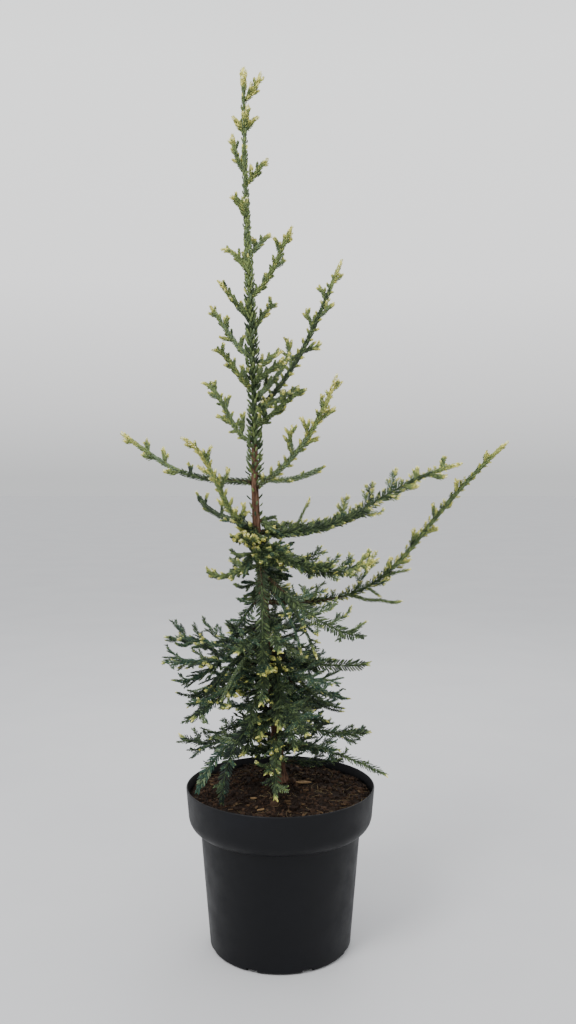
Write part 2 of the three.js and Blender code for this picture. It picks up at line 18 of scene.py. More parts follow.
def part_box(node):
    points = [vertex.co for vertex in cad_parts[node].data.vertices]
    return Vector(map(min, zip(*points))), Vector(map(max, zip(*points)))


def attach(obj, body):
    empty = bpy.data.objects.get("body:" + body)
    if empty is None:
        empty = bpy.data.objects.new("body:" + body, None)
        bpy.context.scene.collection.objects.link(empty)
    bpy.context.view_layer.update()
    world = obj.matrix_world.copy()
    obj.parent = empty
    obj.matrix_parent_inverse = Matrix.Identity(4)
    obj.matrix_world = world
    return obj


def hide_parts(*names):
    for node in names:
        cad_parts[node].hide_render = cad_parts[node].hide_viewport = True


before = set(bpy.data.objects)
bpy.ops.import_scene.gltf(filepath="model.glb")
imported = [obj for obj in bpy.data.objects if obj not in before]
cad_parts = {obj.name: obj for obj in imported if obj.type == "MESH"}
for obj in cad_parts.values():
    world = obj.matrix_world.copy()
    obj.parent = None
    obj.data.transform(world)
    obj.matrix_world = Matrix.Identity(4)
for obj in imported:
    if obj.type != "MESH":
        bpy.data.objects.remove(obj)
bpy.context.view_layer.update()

MM = 0.001
UP = np.array((0.0, 0.0, 1.0))
FRONT = np.array((0.0, -1.0, 0.0))
GOLDEN_TURN = radians(137.5)
MOST_TRIANGLES = 190_000

# The camera stands level with the crown and looks slightly down.
CAMERA = {"place": (10.5, -1280.0, 645.0), "down": 2.15, "lens": 32.8, "sensor": 36.0}

# The pot, its drain slots and the soil, as in the part. relief: size, scale, layer and
# fractal numbers of the soil's lumps and of its grain.
POT = {
    "height": 220.0, "rim_radius": 130.0,
    "collar_foot": 184.0, "collar_foot_radius": 127.0,
    "body_top": 163.0, "body_top_radius": 110.5,
    "body_foot_radius": 97.5, "foot_radius": 92.0,
    "wall": 2.2, "floor": 2.6, "lip": 1.5,
    "segments": 160, "arc_steps": 10, "sharp": 32.0,
}
DRAIN = {"count": 8, "width": 16.0, "height": 5.0, "inner": 84.0, "outer": 110.0}
SOIL = {
    "edge": 205.5, "top": 215.0, "highest": 216.0, "shape": 0.8, "pad": 16.0, "clear": 0.6,
    "rings": 70, "ring_shape": 0.9, "segments": 170, "smooth_within": 26.0,
    "relief": ((2.2, 0.05, 3.0, (0.9, 2.1, 3)), (1.1, 0.33, 9.0, (0.8, 2.3, 4))),
}

# The trunk and the bare boughs, as in the part, with the relief of their bark.
TRUNK = {
    "foot_radius": 7.6, "middle": 610.0, "middle_radius": 5.2, "tip_radius": 1.5,
    "flare": 5.5, "flare_height": 16.0, "lobes": 5, "lobe_depth": 0.28,
    "sides": 56, "ring_step": 2.2, "overlap": 3.0,
}
LIMB = {
    "root_share": 0.6, "tip_radius": 1.5, "sides": 16, "ring_step": 3.0,
    "from": 0.02, "past": 1.04, "collar": 0.5, "collar_length": 7.0, "seed": 80,
}

# How side shoots leave a shoot, as in the part.
FORK = {
    "first": 0.14, "last": 0.93, "after_limb": 0.03, "shortest": 0.45, "spread": 0.5,
    "angles": (36.0, 18.0), "rise": 0.45, "lower_share": 0.8, "steps": 24,
}
BACK_VALUE = 0.6
CLEARANCE = 0.3

# Every shoot that leaves the trunk, as in the part. at: its height. turn: degrees round the
# trunk from +X toward +Y. out and up: how far out and up its tip is. leave and end: its
# slope in degrees at either end. forks and fork: count and length of its side shoots.
# What a group or a row has besides comes in a dict. tilt: degrees that a spray is turned up
# from level. fan: it has broad rows of needles, not close scales. bend: how strongly it
# curves. limb: length of bare bough before the foliage.
COLUMNS = ("at", "turn", "out", "up", "leave", "end", "forks", "fork")
USUAL = {"bend": 1, "limb": 0}
SHOOT_GROUPS = {
    "leader": (dict(tilt=55, fan=False), (
        (1155, -30, 26, 28, 5, 70, 1, 12),
        (1116, 25, 18, 18, 0, 20, 2, 12),
        (1058, 150, 20, 52, 50, 85, 2, 16),
        (1042, -35, 35, 26, 20, 30, 2, 16),
        (997, 215, 20, 25, 40, 10, 2, 16),
        (951, 30, 32, 28, 10, 40, 2, 16),
        (924, 160, 38, 34, 50, 5, 2, 16),
        (890, -25, 63, 88, 25, 58, 4, 26),
        (861, 205, 47, 47, 35, 45, 3, 20),
        (841, 40, 44, 46, 55, 25, 3, 24),
        (807, 150, 70, 78, 30, 50, 4, 26),
        (767, 220, 68, 46, 5, -10, 3, 24),
        (794, 20, 42, 24, 5, 10, 2, 18),
        (773, -45, 62, 23, 20, -5, 3, 20),
    )),
    "middle": (dict(tilt=42, fan=True), (
        (734, 35, 152, 227, 36, 64, 6, 48, dict(limb=70, fan=False)),
        (714, -45, 98, 45, 15, 10, 4, 28, dict(fan=False)),
        (695, 140, 102, 86, -5, 10, 5, 34, dict(fan=False)),
        (631, -35, 133, 146, 22, 70, 6, 40, dict(limb=60, fan=False)),
        (648, 20, 104, 12, -25, 30, 4, 24),
        (638, 160, 208, 70, 2, 34, 6, 36, dict(bend=1.5, limb=80)),
        (574, 132, 140, 48, 15, 55, 5, 30),
        (566, 215, 118, 130, 10, 20, 6, 36, dict(fan=False)),
        (568, 22, 328, 97, 0, 14, 9, 48, dict(bend=1.6, limb=110)),
        (549, -28, 178, -11, -14, 28, 8, 44, dict(bend=1.5, limb=50)),
        (553, 256, 66, 16, 5, 50, 4, 26, dict(fan=False)),
        (512, -44, 184, -68, -25, 0, 7, 48, dict(bend=1.2, limb=55)),
        (521, 195, 76, 0, 0, 60, 4, 28, dict(bend=1.4, fan=False)),
        (471, -18, 330, 218, 0, 42, 11, 56, dict(bend=1.6, limb=110)),
        (528, 276, 54, -142, -15, -78, 6, 22, dict(tilt=0)),
        (500, 78, 160, 35, 5, 30, 6, 48, dict(limb=50)),
    )),
    "low": (dict(tilt=26, fan=True), (
        (472, 235, 76, -34, 25, -10, 4, 40),
        (424, 250, 108, -6, 20, -15, 7, 48),
        (403, 180, 144, 18, 0, 5, 8, 60),
        (392, -10, 138, -4, -10, 8, 8, 54),
        (386, 208, 158, 14, 10, 5, 8, 52),
        (376, -48, 122, -2, 5, 0, 8, 52),
        (440, 58, 140, 26, 10, 10, 8, 60),
        (362, 228, 150, -28, 25, -20, 8, 52),
        (350, 22, 110, -24, 0, -20, 8, 48),
        (334, 292, 118, -20, 15, -20, 7, 48),
        (350, 120, 160, 0, 10, 0, 7, 60),
        (285, 270, 98, -58, 15, -60, 5, 38),
        (297, -12, 132, -3, 5, 18, 8, 48),
        (281, 168, 142, -8, 10, 25, 8, 46, dict(bend=1.4)),
        (304, 150, 144, -76, -10, -45, 5, 36, dict(bend=1.3)),
        (310, 236, 122, -88, 5, -85, 5, 36, dict(bend=1.4)),
        (318, 62, 150, -30, 10, -15, 8, 60),
        (266, -26, 162, -18, 15, -18, 8, 46),
    )),
}

# Shoots that are grown here only, each beside one of the part's and in its node: small ones
# near the tip, short ones in front of the trunk, two that thicken long shoots, and thin
# cords. Those with no name of their own take what their neighbour has.
MORE_COLUMNS = ("near", *COLUMNS)
MORE_SHOOTS = (
    (dict(tilt=55, fan=False), (
        ("leader_2", 1112, 195, 14, 18, 30, 50, 2, 10),
        ("leader_2", 1118, -60, 10, 24, 40, 80, 2, 9),
        ("leader_5", 1004, 120, 10, 22, 30, 70, 1, 9),
        ("leader_14", 752, -15, 50, 60, 35, 65, 4, 22),
        ("middle_2", 735, 12, 62, 36, 20, 35, 4, 20),
    )),
    (dict(tilt=26, fan=True), (
        ("low_7", 430, 30, 88, 28, 0, 25, 5, 34),
        ("low_2", 455, 285, 82, -40, 10, -20, 6, 30),
        ("low_10", 405, 262, 62, -62, 0, -60, 6, 28),
        ("low_10", 356, 280, 58, -48, 5, -55, 6, 28),
        ("low_12", 322, 248, 54, -28, 5, -30, 6, 28),
        ("low_10", 386, 292, 50, -78, 5, -75, 7, 28),
        ("low_10", 372, 240, 60, -70, 5, -70, 7, 30),
        ("low_12", 340, 300, 62, -62, 5, -60, 7, 30),
        ("low_16", 304, 212, 122, -80, 0, -70, 6, 26),
        ("low_12", 312, 226, 62, -44, 5, -50, 6, 28),
        ("middle_11", 556, 285, 46, -26, 10, -40, 6, 24, dict(name="side")),
        ("middle_11", 560, 232, 48, 0, 10, 10, 5, 22),
    )),
    (dict(name="side", bend=1.4, tilt=42, fan=True), (
        ("middle_10", 548, -34, 122, -20, -14, 15, 6, 26),
        ("middle_9", 566, 18, 165, 31, 0, 20, 6, 24),
    )),
    (dict(name="cord", bend=1.2, tilt=42, fan=False), (
        ("middle_12", 505, -46, 108, -98, -20, -60, 3, 22),
        ("middle_12", 502, -53, 90, -90, -30, -70, 3, 22),
        ("middle_12", 506, -44, 106, -70, -20, -25, 3, 22),
    )),
    (dict(name="cord", strands=True, bend=1.3, tilt=26, fan=False), (
        ("low_8", 424, 206, 140, -50, -5, 12, 3, 26),
        ("low_8", 416, 214, 144, -54, 0, 28, 3, 26),
        ("low_8", 408, 224, 132, -76, -5, -50, 3, 22),
        ("low_8", 400, 230, 140, -44, -12, 5, 3, 26),
        ("low_8", 394, 200, 118, -62, -10, -30, 3, 22),
        ("low_8", 412, 238, 112, -58, 0, -45, 3, 24),
    )),
    (dict(name="cord", bend=1.3, tilt=26, fan=False), (
        ("low_6", 398, -24, 120, -52, -5, 8, 3, 26),
        ("low_6", 384, -32, 118, -48, -5, 5, 3, 26),
        ("low_6", 370, -18, 104, -46, -10, 0, 3, 24),
    )),
)
# Bands of short shoots all round that fill the crown near the trunk: lowest and highest
# place, count, and the ranges of out and up.
FILLING = {
    "bands": (
        (240.0, 330.0, 20, (45.0, 100.0), (-12.0, 18.0)),
        (330.0, 450.0, 24, (50.0, 110.0), (-45.0, 15.0)),
        (490.0, 590.0, 9, (20.0, 46.0), (-30.0, 22.0)),
    ),
    "turn": (-15, 15), "leave": (0, 20), "end": (-15, 20), "seed": 101,
    "same": dict(name="fill", group="fill", forks=6, fork=34.0, tilt=26, fan=True),
}

# What single shoots have of their own, by name, in millimetres or as shares of the usual.
# young: length of the yellow growth at the ends of its twigs. young_end: the same at its
# own end. form, old and turned: form, old tint and tilt of its own needles. cord_from: from
# which share of its length it is a cord with close scales. thin and outer_thin: how long
# its needles are before and after that. short: from which share its side shoots are kept
# short, and how short. plain: it has no twigs between its side shoots. cords: thin cords
# that leave it, each with its place, length, slope from the shoot's own and turn upward.
# Below LOW_BELOW and over TOP_ABOVE shoots have the colours of the low crown and the top.
OWN = {
    "leader_1": dict(young=16.0, young_end=42.0),
    "leader_2": dict(young=16.0),
    "leader_3": dict(young=13.0, young_end=16.0),
    "leader_4": dict(young=9.0),
    "leader_7": dict(young_end=20.0),
    "leader_8": dict(young_end=20.0),
    "leader_9": dict(young_end=22.0),
    "leader_11": dict(young_end=18.0),
    "leader_12": dict(young_end=14.0),
    "leader_14": dict(young=4.4),
    "middle_1": dict(young=8.0, young_end=34.0),
    "middle_2": dict(young=4.6),
    "middle_3": dict(young=5.0, young_end=18.0),
    "middle_4": dict(young=9.0, young_end=60.0),
    "middle_5": dict(thin=0.6, plain=True),
    "middle_6": dict(
        young=6.5, young_end=36.0, cord_from=0.5, thin=0.62, outer_thin=1.2, short=(0.45, 0.8), plain=True,
    ),
    "middle_7": dict(thin=0.6, plain=True),
    "middle_8": dict(young=13.0, young_end=85.0),
    "middle_9": dict(
        young=7.5, young_end=34.0, form="bone", old="dark", cord_from=0.7, thin=1.2, outer_thin=1.35,
        cords=((0.14, 58.0, 36.0, 2.0), (0.58, 44.0, -14.0, 0.1)),
    ),
    "middle_10": dict(young=3.3, young_end=26.0, form="bone", old="dark", cord_from=0.78, thin=1.15),
    "middle_11": dict(young=4.0),
    "middle_12": dict(young=3.0, form="bone", old="dark", plain=True),
    "middle_14": dict(
        young=7.0, young_end=30.0, cord_from=0.46, short=(0.41, 0.55),
        cords=((0.29, 76.0, -32.0, 0.3), (0.36, 22.0, -60.0, 0.0), (0.42, 40.0, -22.0, 0.1)),
    ),
    "middle_15": dict(young=1.0, form="bone", short=(0.0, 0.4), plain=True),
    "middle_16": dict(young=3.0),
    "low_2": dict(form="bone", old="dark"),
    "low_4": dict(form="bone", old="dark", turned=62.0, short=(0.35, 0.3), plain=True),
    "low_10": dict(form="bone", old="dark"),
    "low_12": dict(form="bone", old="dark"),
    "low_13": dict(old="dark", turned=40.0, short=(0.55, 0.45)),
    "low_15": dict(young=1.2),
    "low_16": dict(young=1.2, form="bone", short=(0.5, 0.6)),
    "low_18": dict(old="dark", short=(0.5, 0.4), plain=True),
    "side": dict(young=2.6, old="dark"),
    "cord": dict(form="cord", palette="low", plain=True),
}
LOW_BELOW = 480
TOP_ABOVE = 900

# How groups of shoots grow. young: as above. later: how much further from yellow their
# needles are. every and twig: one twig in so many millimetres of a shoot, and its length.
# rise: how twigs turn upward. angles: least and span of their angles on a shoot and on a twig.
GROWTH = {
    "leader": {"young": 5.8, "later": 0.0, "every": 8.0, "twig": 13.0, "rise": (0.3, 0.7),
               "angles": ((30.0, 16.0), (22.0, 16.0))},
    "middle": {"young": 5.0, "later": 0.0, "every": 5.5, "twig": 19.0, "rise": (0.0, 0.5),
               "angles": ((40.0, 20.0), (24.0, 16.0))},
    "low": {"young": 3.4, "later": 0.14, "every": 11.0, "twig": 15.0, "rise": (-0.5, 0.3),
            "angles": ((30.0, 18.0), (18.0, 16.0))},
    "fill": {"young": 2.8, "later": 0.14, "every": 11.0, "twig": 14.0, "rise": (-0.5, 0.3),
             "angles": ((30.0, 18.0), (18.0, 16.0))},
}
SCALE_TWIGS = {"every": 8.5, "twig": 14.0}
# Twigs on twigs: one in so many millimetres, their share of its length, and their limits.
FINER = (
    {"least": 6.0},
    {"every": 9.0, "share": 0.52, "least": 5.5, "most": 30.0},
    {"every": 8.5, "share": 0.55, "least": 5.0, "most": 16.0},
)
# From which share of its length a twig or a shoot has them, and clear of the trunk.
TWIGS_FIRST = {"twig": 0.12, "shoot": 0.06, "trunk_radii": 1.6}
# Long strands that run beside a low shoot, by its own length, where it reaches far enough.
STRANDS = {
    "count": 3, "first": 0.1, "last": 0.6, "share": (0.3, 0.46), "angle": (7.0, 13.0),
    "rise": (-0.5, 0.0), "least_out": 105, "least_end": -25,
}
# Side shoots near a shoot's end, or where it is a cord, have close scales.
OUTER = {"from": 0.9, "young": 1.2}
SIDE_CORD_NEEDLES = 1.5
WAVE = {"size": 1.3, "least": 0.4, "length": 36.0}
STEM = {
    "root_share": 0.36, "reach": 0.3, "step": 5.0, "tip_share": 0.55, "cord_tip_share": 0.9,
    "taper": 0.35, "overlap": 0.01, "gold_below": 2.2,
}

# How young twigs are by level, and how that spreads. In the low crown few are lit by much
# young growth. On the leader's whips the twigs nearer the trunk have less.
YOUNG = {"by_level": (1.25, 1.0, 0.85, 0.75), "spread": 0.35, "needle_spread": 0.16}
YOUNG_LIT = {"share": 0.05, "lit": 1.3, "plain": 0.4}
YOUNG_BACK = {"until": 0.72, "share": 0.35}
# Clusters of yellow sprays at the front: place (x, z), half width and height, young length.
# Twigs that are much younger there than their shoot have close scales.
YOUNG_SPOTS = (
    ((-79, 354), (34, 15), 7.0),
    ((-8, 388), (17, 17), 5.6),
    ((-32, 292), (10, 24), 4.3),
    ((-3, 300), (9, 16), 4.0),
    ((-100, 392), (10, 8), 5.0),
    ((-128, 430), (34, 16), 4.0),
    ((117, 531), (20, 16), 7.0),
    ((-8, 268), (12, 20), 4.2),
    ((96, 408), (12, 14), 4.0),
    ((-40, 563), (24, 16), 5.2),
)
YOUNG_SPOT_BACK = 30.0
YOUNG_SPOT_LEAST = 3.9

# The forms of needles, by how far a twig is from the trunk. Fan and bone sprays have two
# rows of broad needles and short ones that cover the stem. The others have them all round:
# brushes stand out, scales and cords lie close.
Form = namedtuple("Form", "length width angle pitch stem")
FORMS = {
    "fan": (
        Form(9.5, 1.75, 47.0, 1.6, 1.2),
        Form(5.0, 1.5, 46.0, 1.2, 0.85),
        Form(4.2, 1.4, 43.0, 1.05, 0.7),
        Form(3.5, 1.3, 40.0, 0.95, 0.6),
    ),
    "bone": (
        Form(11.5, 2.5, 48.0, 1.7, 1.1),
        Form(6.5, 1.7, 46.0, 1.4, 0.85),
        Form(4.8, 1.5, 43.0, 1.2, 0.7),
        Form(3.8, 1.4, 40.0, 1.0, 0.6),
    ),
    "cord": (
        Form(4.2, 1.7, 32.0, 0.5, 1.15),
        Form(3.6, 1.6, 30.0, 0.5, 1.0),
        Form(3.2, 1.5, 30.0, 0.5, 0.9),
        Form(2.8, 1.4, 30.0, 0.5, 0.8),
    ),
    "brush": (
        Form(9.6, 2.2, 46.0, 0.4, 1.8),
        Form(4.8, 2.0, 32.0, 0.4, 1.7),
        Form(4.2, 1.9, 30.0, 0.38, 1.6),
        Form(3.8, 1.8, 28.0, 0.38, 1.4),
    ),
    "scale": (
        Form(5.4, 2.2, 27.0, 0.44, 2.5),
        Form(4.8, 2.2, 27.0, 0.4, 2.0),
        Form(4.0, 2.1, 25.0, 0.33, 1.85),
        Form(3.8, 2.1, 25.0, 0.33, 1.6),
    ),
}
FLAT_FORMS = ("fan", "bone")
# The needles that cover a flat spray's stem. Their length is a share of the others'.
COVER = Form(0.6, 1.5, 20.0, 1.0, 0.0)
# Needles lie closer and are shorter within close_over lengths of a twig's tip, and shorter
# within open_over lengths of its root. kept: the share of their length that the tip leaves
# alone. seat: where in the stem their roots are.
NEEDLE = {
    "angle_spread": 5, "close_over": 1.6, "closest": 0.5, "kept": 0.3, "kept_top": 1.0,
    "open_over": 2.5, "opening": 0.6, "lengths": (0.85, 1.1), "widths": (0.85, 1.12), "seat": 0.75,
    "row_lift": (0.12, 0.16), "row_roll": 0.22, "fan_squash": 0.7,
}
# How far a needle's keel stands up from its edges, as a share of its width, and how its
# length bends. Long needles have two stations between root and tip, and others one.
KEEL = {"flat": 0.28, "round": 0.5, "leader": 0.62}
BEND = {"flat": -0.1, "round": -0.16, "leader": -0.12}
BLADE = {"fine": ((0.3, 0.9), (0.8, 0.85)), "plain": ((0.55, 1.0),), "tip_lift": 0.05, "fine_from": 5.2}

# The leader carries its own needles, by height: their length, angle, width and number.
LEADER = {
    "heights": (300, 560, 590, 640, 655, 700, 860, 920, 1000, 1100, 1176),
    "length": (7.0, 9.0, 10.0, 11.0, 12.0, 12.5, 11.5, 9.2, 7.6, 6.8, 6.2),
    "angle": (50, 54, 56, 54, 52, 50, 40, 29, 20, 15, 15),
    "width": (2.6, 3.0, 3.2, 3.4, 3.6, 3.7, 3.7, 3.5, 3.1, 2.8, 2.6),
    "per_mm": (0.2, 0.35, 0.3, 0.5, 1.3, 1.5, 1.4, 1.4, 1.2, 1.1, 1.2),
    "slim": (1.0, 1.0, 1.0, 0.95, 0.9, 0.85, 0.85, 0.85, 0.9, 1.0, 1.1),
    "green_from": 690.0, "pale_from": 960.0, "young_share": 0.025, "young_above": 860,
    "seed": 7, "step": 0.5, "angle_spread": 6, "lengths": (0.75, 1.1), "widths": (0.85, 1.15),
    "seat": 0.9,
}
# The leader's tip, and its fingers: how far up and out they reach, where each leaves it, and
# its turn.
LEADER_TIP = {
    "name": "tip", "node": "foliage_leader_tip", "group": "leader", "palette": "top", "form": "scale",
    "fan": False, "thin": 1.0, "young": 26.0, "below_top": 4.0, "steps": 12,
    "finger": ((3.0, 2.6), (12.0, 2.9)),
}
LEADER_FINGERS = (
    (1167.0, 0.4), (1171.0, 3.4), (1175.0, 1.9), (1178.0, 5.2), (1173.0, 4.4), (1181.0, 0.0), (1182.0, 3.1),
)

# Foliage colours from old to young, in the sRGB of plain paint, and how they are dealt out.
TINTS = {
    "deep": "#141f19", "blue": "#2b4437", "dark": "#2c3a25", "mid": "#4e5d3a", "sage": "#5d6c50",
    "fresh": "#677645", "lime": "#909652", "gold": "#cdc86a", "cream": "#f6f1b2",
}
OLD_TINTS = {
    "low": (("deep", 0.34), ("blue", 0.42), ("dark", 0.16), ("sage", 0.08)),
    "fan": (("deep", 0.1), ("blue", 0.24), ("dark", 0.3), ("mid", 0.28), ("sage", 0.08)),
    "side": (("mid", 0.6), ("sage", 0.4)),
    "scale": (("dark", 0.1), ("mid", 0.36), ("sage", 0.42), ("fresh", 0.12)),
    "top": (("mid", 0.25), ("sage", 0.2), ("fresh", 0.55)),
    "leader": (("dark", 0.18), ("mid", 0.42), ("sage", 0.1), ("fresh", 0.3)),
}
# Lighter copies of the old tints, and the share of needles that take them at random: painted highlights on
# single needles.
PAINTED_HIGHLIGHT_TINTS = {"deep": "dark", "blue": "sage", "dark": "mid", "mid": "fresh", "sage": "fresh", "fresh": "lime"}
PAINTED_HIGHLIGHT_SHARE = 0.27
YOUNG_STEPS = (("cream", 0.12), ("gold", 0.44), ("lime", 0.95), ("fresh", 1.6))
# Twigs with hardly any young growth have no yellow: their needles count as older.
PLAIN_BELOW = {"young": 2.8, "age": 0.9}

# Relief of the bark, litter on the soil, and the studio, whose lights are in metres.
BARK = {
    "depth": 0.9, "leader_depth": 0.35, "full_radius": 4.0,
    "across": 0.42, "along": 0.075, "ridge": 0.35, "fractal": (0.8, 2.1, 4),
    "stops": (0.3, 0.42, 0.55, 0.72),
    "trunk": ("#1f1712", "#3f2b21", "#5f4637", "#826656"),
    "bough": ("#17130f", "#2c231a", "#443829", "#65563f"),
}
LITTER = {"seed": 31, "clear": 15, "first_share": 0.6}
CRUMB = {
    "count": 1900, "inside": 4, "size": (3.0, 0.55), "least": 0.5, "lumps": (0.7, 1.25),
    "squash": (0.6, 1.2), "lift": 0.15,
}
FIBRE = {
    "count": 250, "inside": 7, "points": 7, "length": (5, 20), "lean": (-0.15, 0.35),
    "curl": (-1.2, 1.2), "radius": (0.22, 0.42), "lift": 0.6, "more_lift": (0, 0.8), "below_rim": 1,
}
CHIP = {
    "count": 60, "inside": 10, "sides": 9, "length": (5, 11), "width": 0.24, "thick": 1.0,
    "reach": (0.8, 1.1), "pitch": (-0.12, 0.2), "roll": (-0.15, 0.15), "lift": 1.2, "large_lift": 3.2,
    "large": ((32.0, 15.0, 22.0, 8.0), (-36.0, -42.0, 10.0, 160.0), (-25.0, -79.0, 11.0, 20.0)),
}
LITTER_COLOURS = {
    "dark_crumbs": ("#17100c", "#271c15"),
    "brown_crumbs": ("#2c2018", "#413023"),
    "straw": ("#453a29", "#6b5d42"),
    "rust_fibres": ("#33241a", "#4e3826"),
    "bark_chips": ("#3f3021", "#5f4a32"),
    "pale_chips": ("#6b543a", "#8d7350"),
}
STUDIO = {
    "floor": 60_000.0,
    "aim": (0, 0, 0.55),
    "sky": ((0.0, "#adaeaf"), (0.08, "#c9c9ca"), (0.2, "#e6e6e7"), (0.4, "#eceded"), (1.0, "#b0b2b6")),
    "sky_strength": 1.85,
    "lamps": (
        ("key", (-1.1, -1.5, 2.5), 0.9, 52.0),
        ("fill", (1.7, -1.2, 1.6), 1.8, 5.0),
        ("back", (0.4, 1.6, 2.2), 1.2, 18.0),
    ),
}


def unit(v):
    return v / np.maximum(np.linalg.norm(v, axis=-1, keepdims=True), 1e-9)


def level_direction(turn):
    return np.array((cos(turn), sin(turn), 0.0))


def slope(outward, angle):
    """The direction at an angle in degrees over a level one."""
    return outward * cos(radians(angle)) + UP * sin(radians(angle))


def full_turn(sides):
    """Angles evenly round a circle."""
    return np.linspace(0, 2 * pi, sides, endpoint=False)


class Stream:
    """The part's seeded numbers between 0 and 1."""

    TIMES, PLUS, RANGE = 1664525, 1013904223, 2**32

    def __init__(self, seed):
        self.state = seed

    def draw(self):
        self.state = (self.TIMES * self.state + self.PLUS) % self.RANGE
        return self.state / self.RANGE


class Path:
    """A smooth line through space, measured along its length."""

    def __init__(self, points):
        self.points = points
        steps = np.linalg.norm(np.diff(points, axis=0), axis=1)
        self.reached = np.concatenate(([0.0], np.cumsum(steps)))
        self.length = float(self.reached[-1])

    def at(self, share):
        along = np.asarray(share) * self.length
        return np.stack([np.interp(along, self.reached, self.points[:, k]) for k in range(3)], -1)

    def tangent(self, share):
        near = 0.004
        share = np.asarray(share)
        return unit(self.at(np.minimum(share + near, 1)) - self.at(np.maximum(share - near, 0)))


def bezier(corners, steps=200):
    t = np.linspace(0, 1, steps + 1)[:, None]
    points = [np.tile(c, (steps + 1, 1)) for c in corners]
    while len(points) > 1:
        points = [a * (1 - t) + b * t for a, b in zip(points, points[1:])]
    return Path(points[0])


def read_trunk_axis():
    """Heights and centres of the level rings of the part's trunk."""
    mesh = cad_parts["trunk"].data
    co = np.array([v.co for v in mesh.vertices]) / MM
    co = np.unique(np.round(co, 2), axis=0)
    heights = np.unique(np.round(co[:, 2], 1))
    centres = [co[np.abs(co[:, 2] - z) < 0.2].mean(0) for z in heights]
    return heights, np.array(centres)


RING_HEIGHTS, RING_CENTRES = read_trunk_axis()
TRUNK_FOOT, TRUNK_TOP = float(RING_HEIGHTS[0]), float(RING_HEIGHTS[-1])
PLANT_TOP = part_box("foliage_leader_tip")[1].z / MM


def trunk_axis(height):
    x = np.interp(height, RING_HEIGHTS, RING_CENTRES[:, 0])
    y = np.interp(height, RING_HEIGHTS, RING_CENTRES[:, 1])
    return np.stack([x, y, np.asarray(height, float)], -1)


def trunk_radius(height):
    stops = (TRUNK_FOOT, TRUNK["middle"], TRUNK_TOP)
    return np.interp(height, stops, (TRUNK["foot_radius"], TRUNK["middle_radius"], TRUNK["tip_radius"]))


def leader_value(name, height):
    return np.interp(height, LEADER["heights"], LEADER[name])


def leader_radius(height):
    """Radius of the trunk under its needles, which fill the solid's reach."""
    return trunk_radius(height) * leader_value("slim", height)


def shoot_path(shoot):
    outward = level_direction(radians(shoot["turn"]))
    start = trunk_axis(shoot["at"])
    end = start + outward * shoot["out"] + UP * shoot["up"]
    pull = np.linalg.norm(end - start) * shoot["bend"] / 3
    return bezier((
        start,
        start + slope(outward, shoot["leave"]) * pull,
        end - slope(outward, shoot["end"]) * pull,
        end,
    ))


def spray_directions(tangent, tilt):
    """Side and face of a spray about its centre line, leaned as it shows best."""
    level = unit(np.cross(UP, tangent))
    over = unit(np.cross(tangent, level))
    best = None
    for lean in (radians(tilt), radians(-tilt)):
        side = level * cos(lean) + over * sin(lean)
        face = unit(np.cross(tangent, side))
        shown = -face[1] if face[1] < 0 else face[1] * BACK_VALUE
        if best is None or shown > best[0]:
            best = (shown, side, face)
    return best[1:]


def carried_directions(face, tangent):
    """The same for a twig that lies in its parent's spray."""
    side = unit(np.cross(face, tangent))
    return side, unit(np.cross(tangent, side))


def twig_curve(root, leaving, size, rise):
    """A twig that turns upward over its length."""
    ending = unit(leaving + UP * rise)
    middle = root + leaving * size / 2
    return bezier((root, middle, middle + ending * size / 2), FORK["steps"])


def side_paths(path, count, length, first, lie, draw, rise=FORK["rise"], angles=FORK["angles"], turn=0):
    """Side shoots alternate along a shoot, shorter toward its tip, and turn upward."""
    found = []
    for i in range(count):
        along = first + (FORK["last"] - first) * (i + 0.25 + 0.5 * draw()) / count
        upper = (i + turn) % 2 == 0
        grown = 1 - (1 - FORK["shortest"]) * (along - first) / (1 - first)
        size = length * grown * (1 - FORK["spread"] / 2 + FORK["spread"] * draw())
        size *= 1 if upper else FORK["lower_share"]
        angle = radians(angles[0] + angles[1] * draw())
        tangent = path.tangent(along)
        side, face = lie(tangent)
        sideways = -1 if (side[2] < 0) == upper else 1
        leaving = tangent * cos(angle) + side * (sideways * sin(angle))
        found.append((twig_curve(path.at(along), leaving, size, rise), face))
    return found


def left_at(path, twig):
    """How far out on a shoot a twig leaves it, as a share of the shoot's length."""
    return np.linalg.norm(twig.points[0] - path.points[0]) / path.length


def waved(path, face, rng):
    """The same path with the slight waves of a real twig."""
    share = path.reached / path.length
    side = unit(np.cross(face, path.tangent(share)))
    phase = rng.uniform(0, 2 * pi, 2)
    turns = 2 * pi * path.reached[:, None] / WAVE["length"]
    sway = np.sin(turns + phase) * WAVE["size"] * rng.uniform(WAVE["least"], 1, 2)
    fade = np.sin(np.clip(share, 0, 0.5) * pi)[:, None]
    return Path(path.points + (side * sway[:, :1] + face * sway[:, 1:]) * fade)


def pot_inner_radius(height):
    """Radius of the pot's inside at a height, by its straight stretches."""
    stops = (0.0, POT["body_top"], POT["collar_foot"], POT["height"])
    radii = (POT["body_foot_radius"], POT["body_top_radius"], POT["collar_foot_radius"], POT["rim_radius"])
    return np.interp(height, stops, radii) - POT["wall"]


def meets_pot(points, room=2.0):
    """Whether a twig would meet the pot's wall or the soil."""
    out = np.hypot(points[:, 0], points[:, 1])
    near = (out < POT["rim_radius"] + room) & (points[:, 2] < POT["height"] + room)
    over_soil = out < POT["rim_radius"] - POT["wall"] - room
    return bool(np.any(near & (~over_soil | (points[:, 2] < SOIL["top"] + room))))


def meets_trunk(points, room=1.0):
    centres = trunk_axis(points[:, 2])
    return bool(np.any(np.linalg.norm(points - centres, axis=1) < trunk_radius(points[:, 2]) + room))


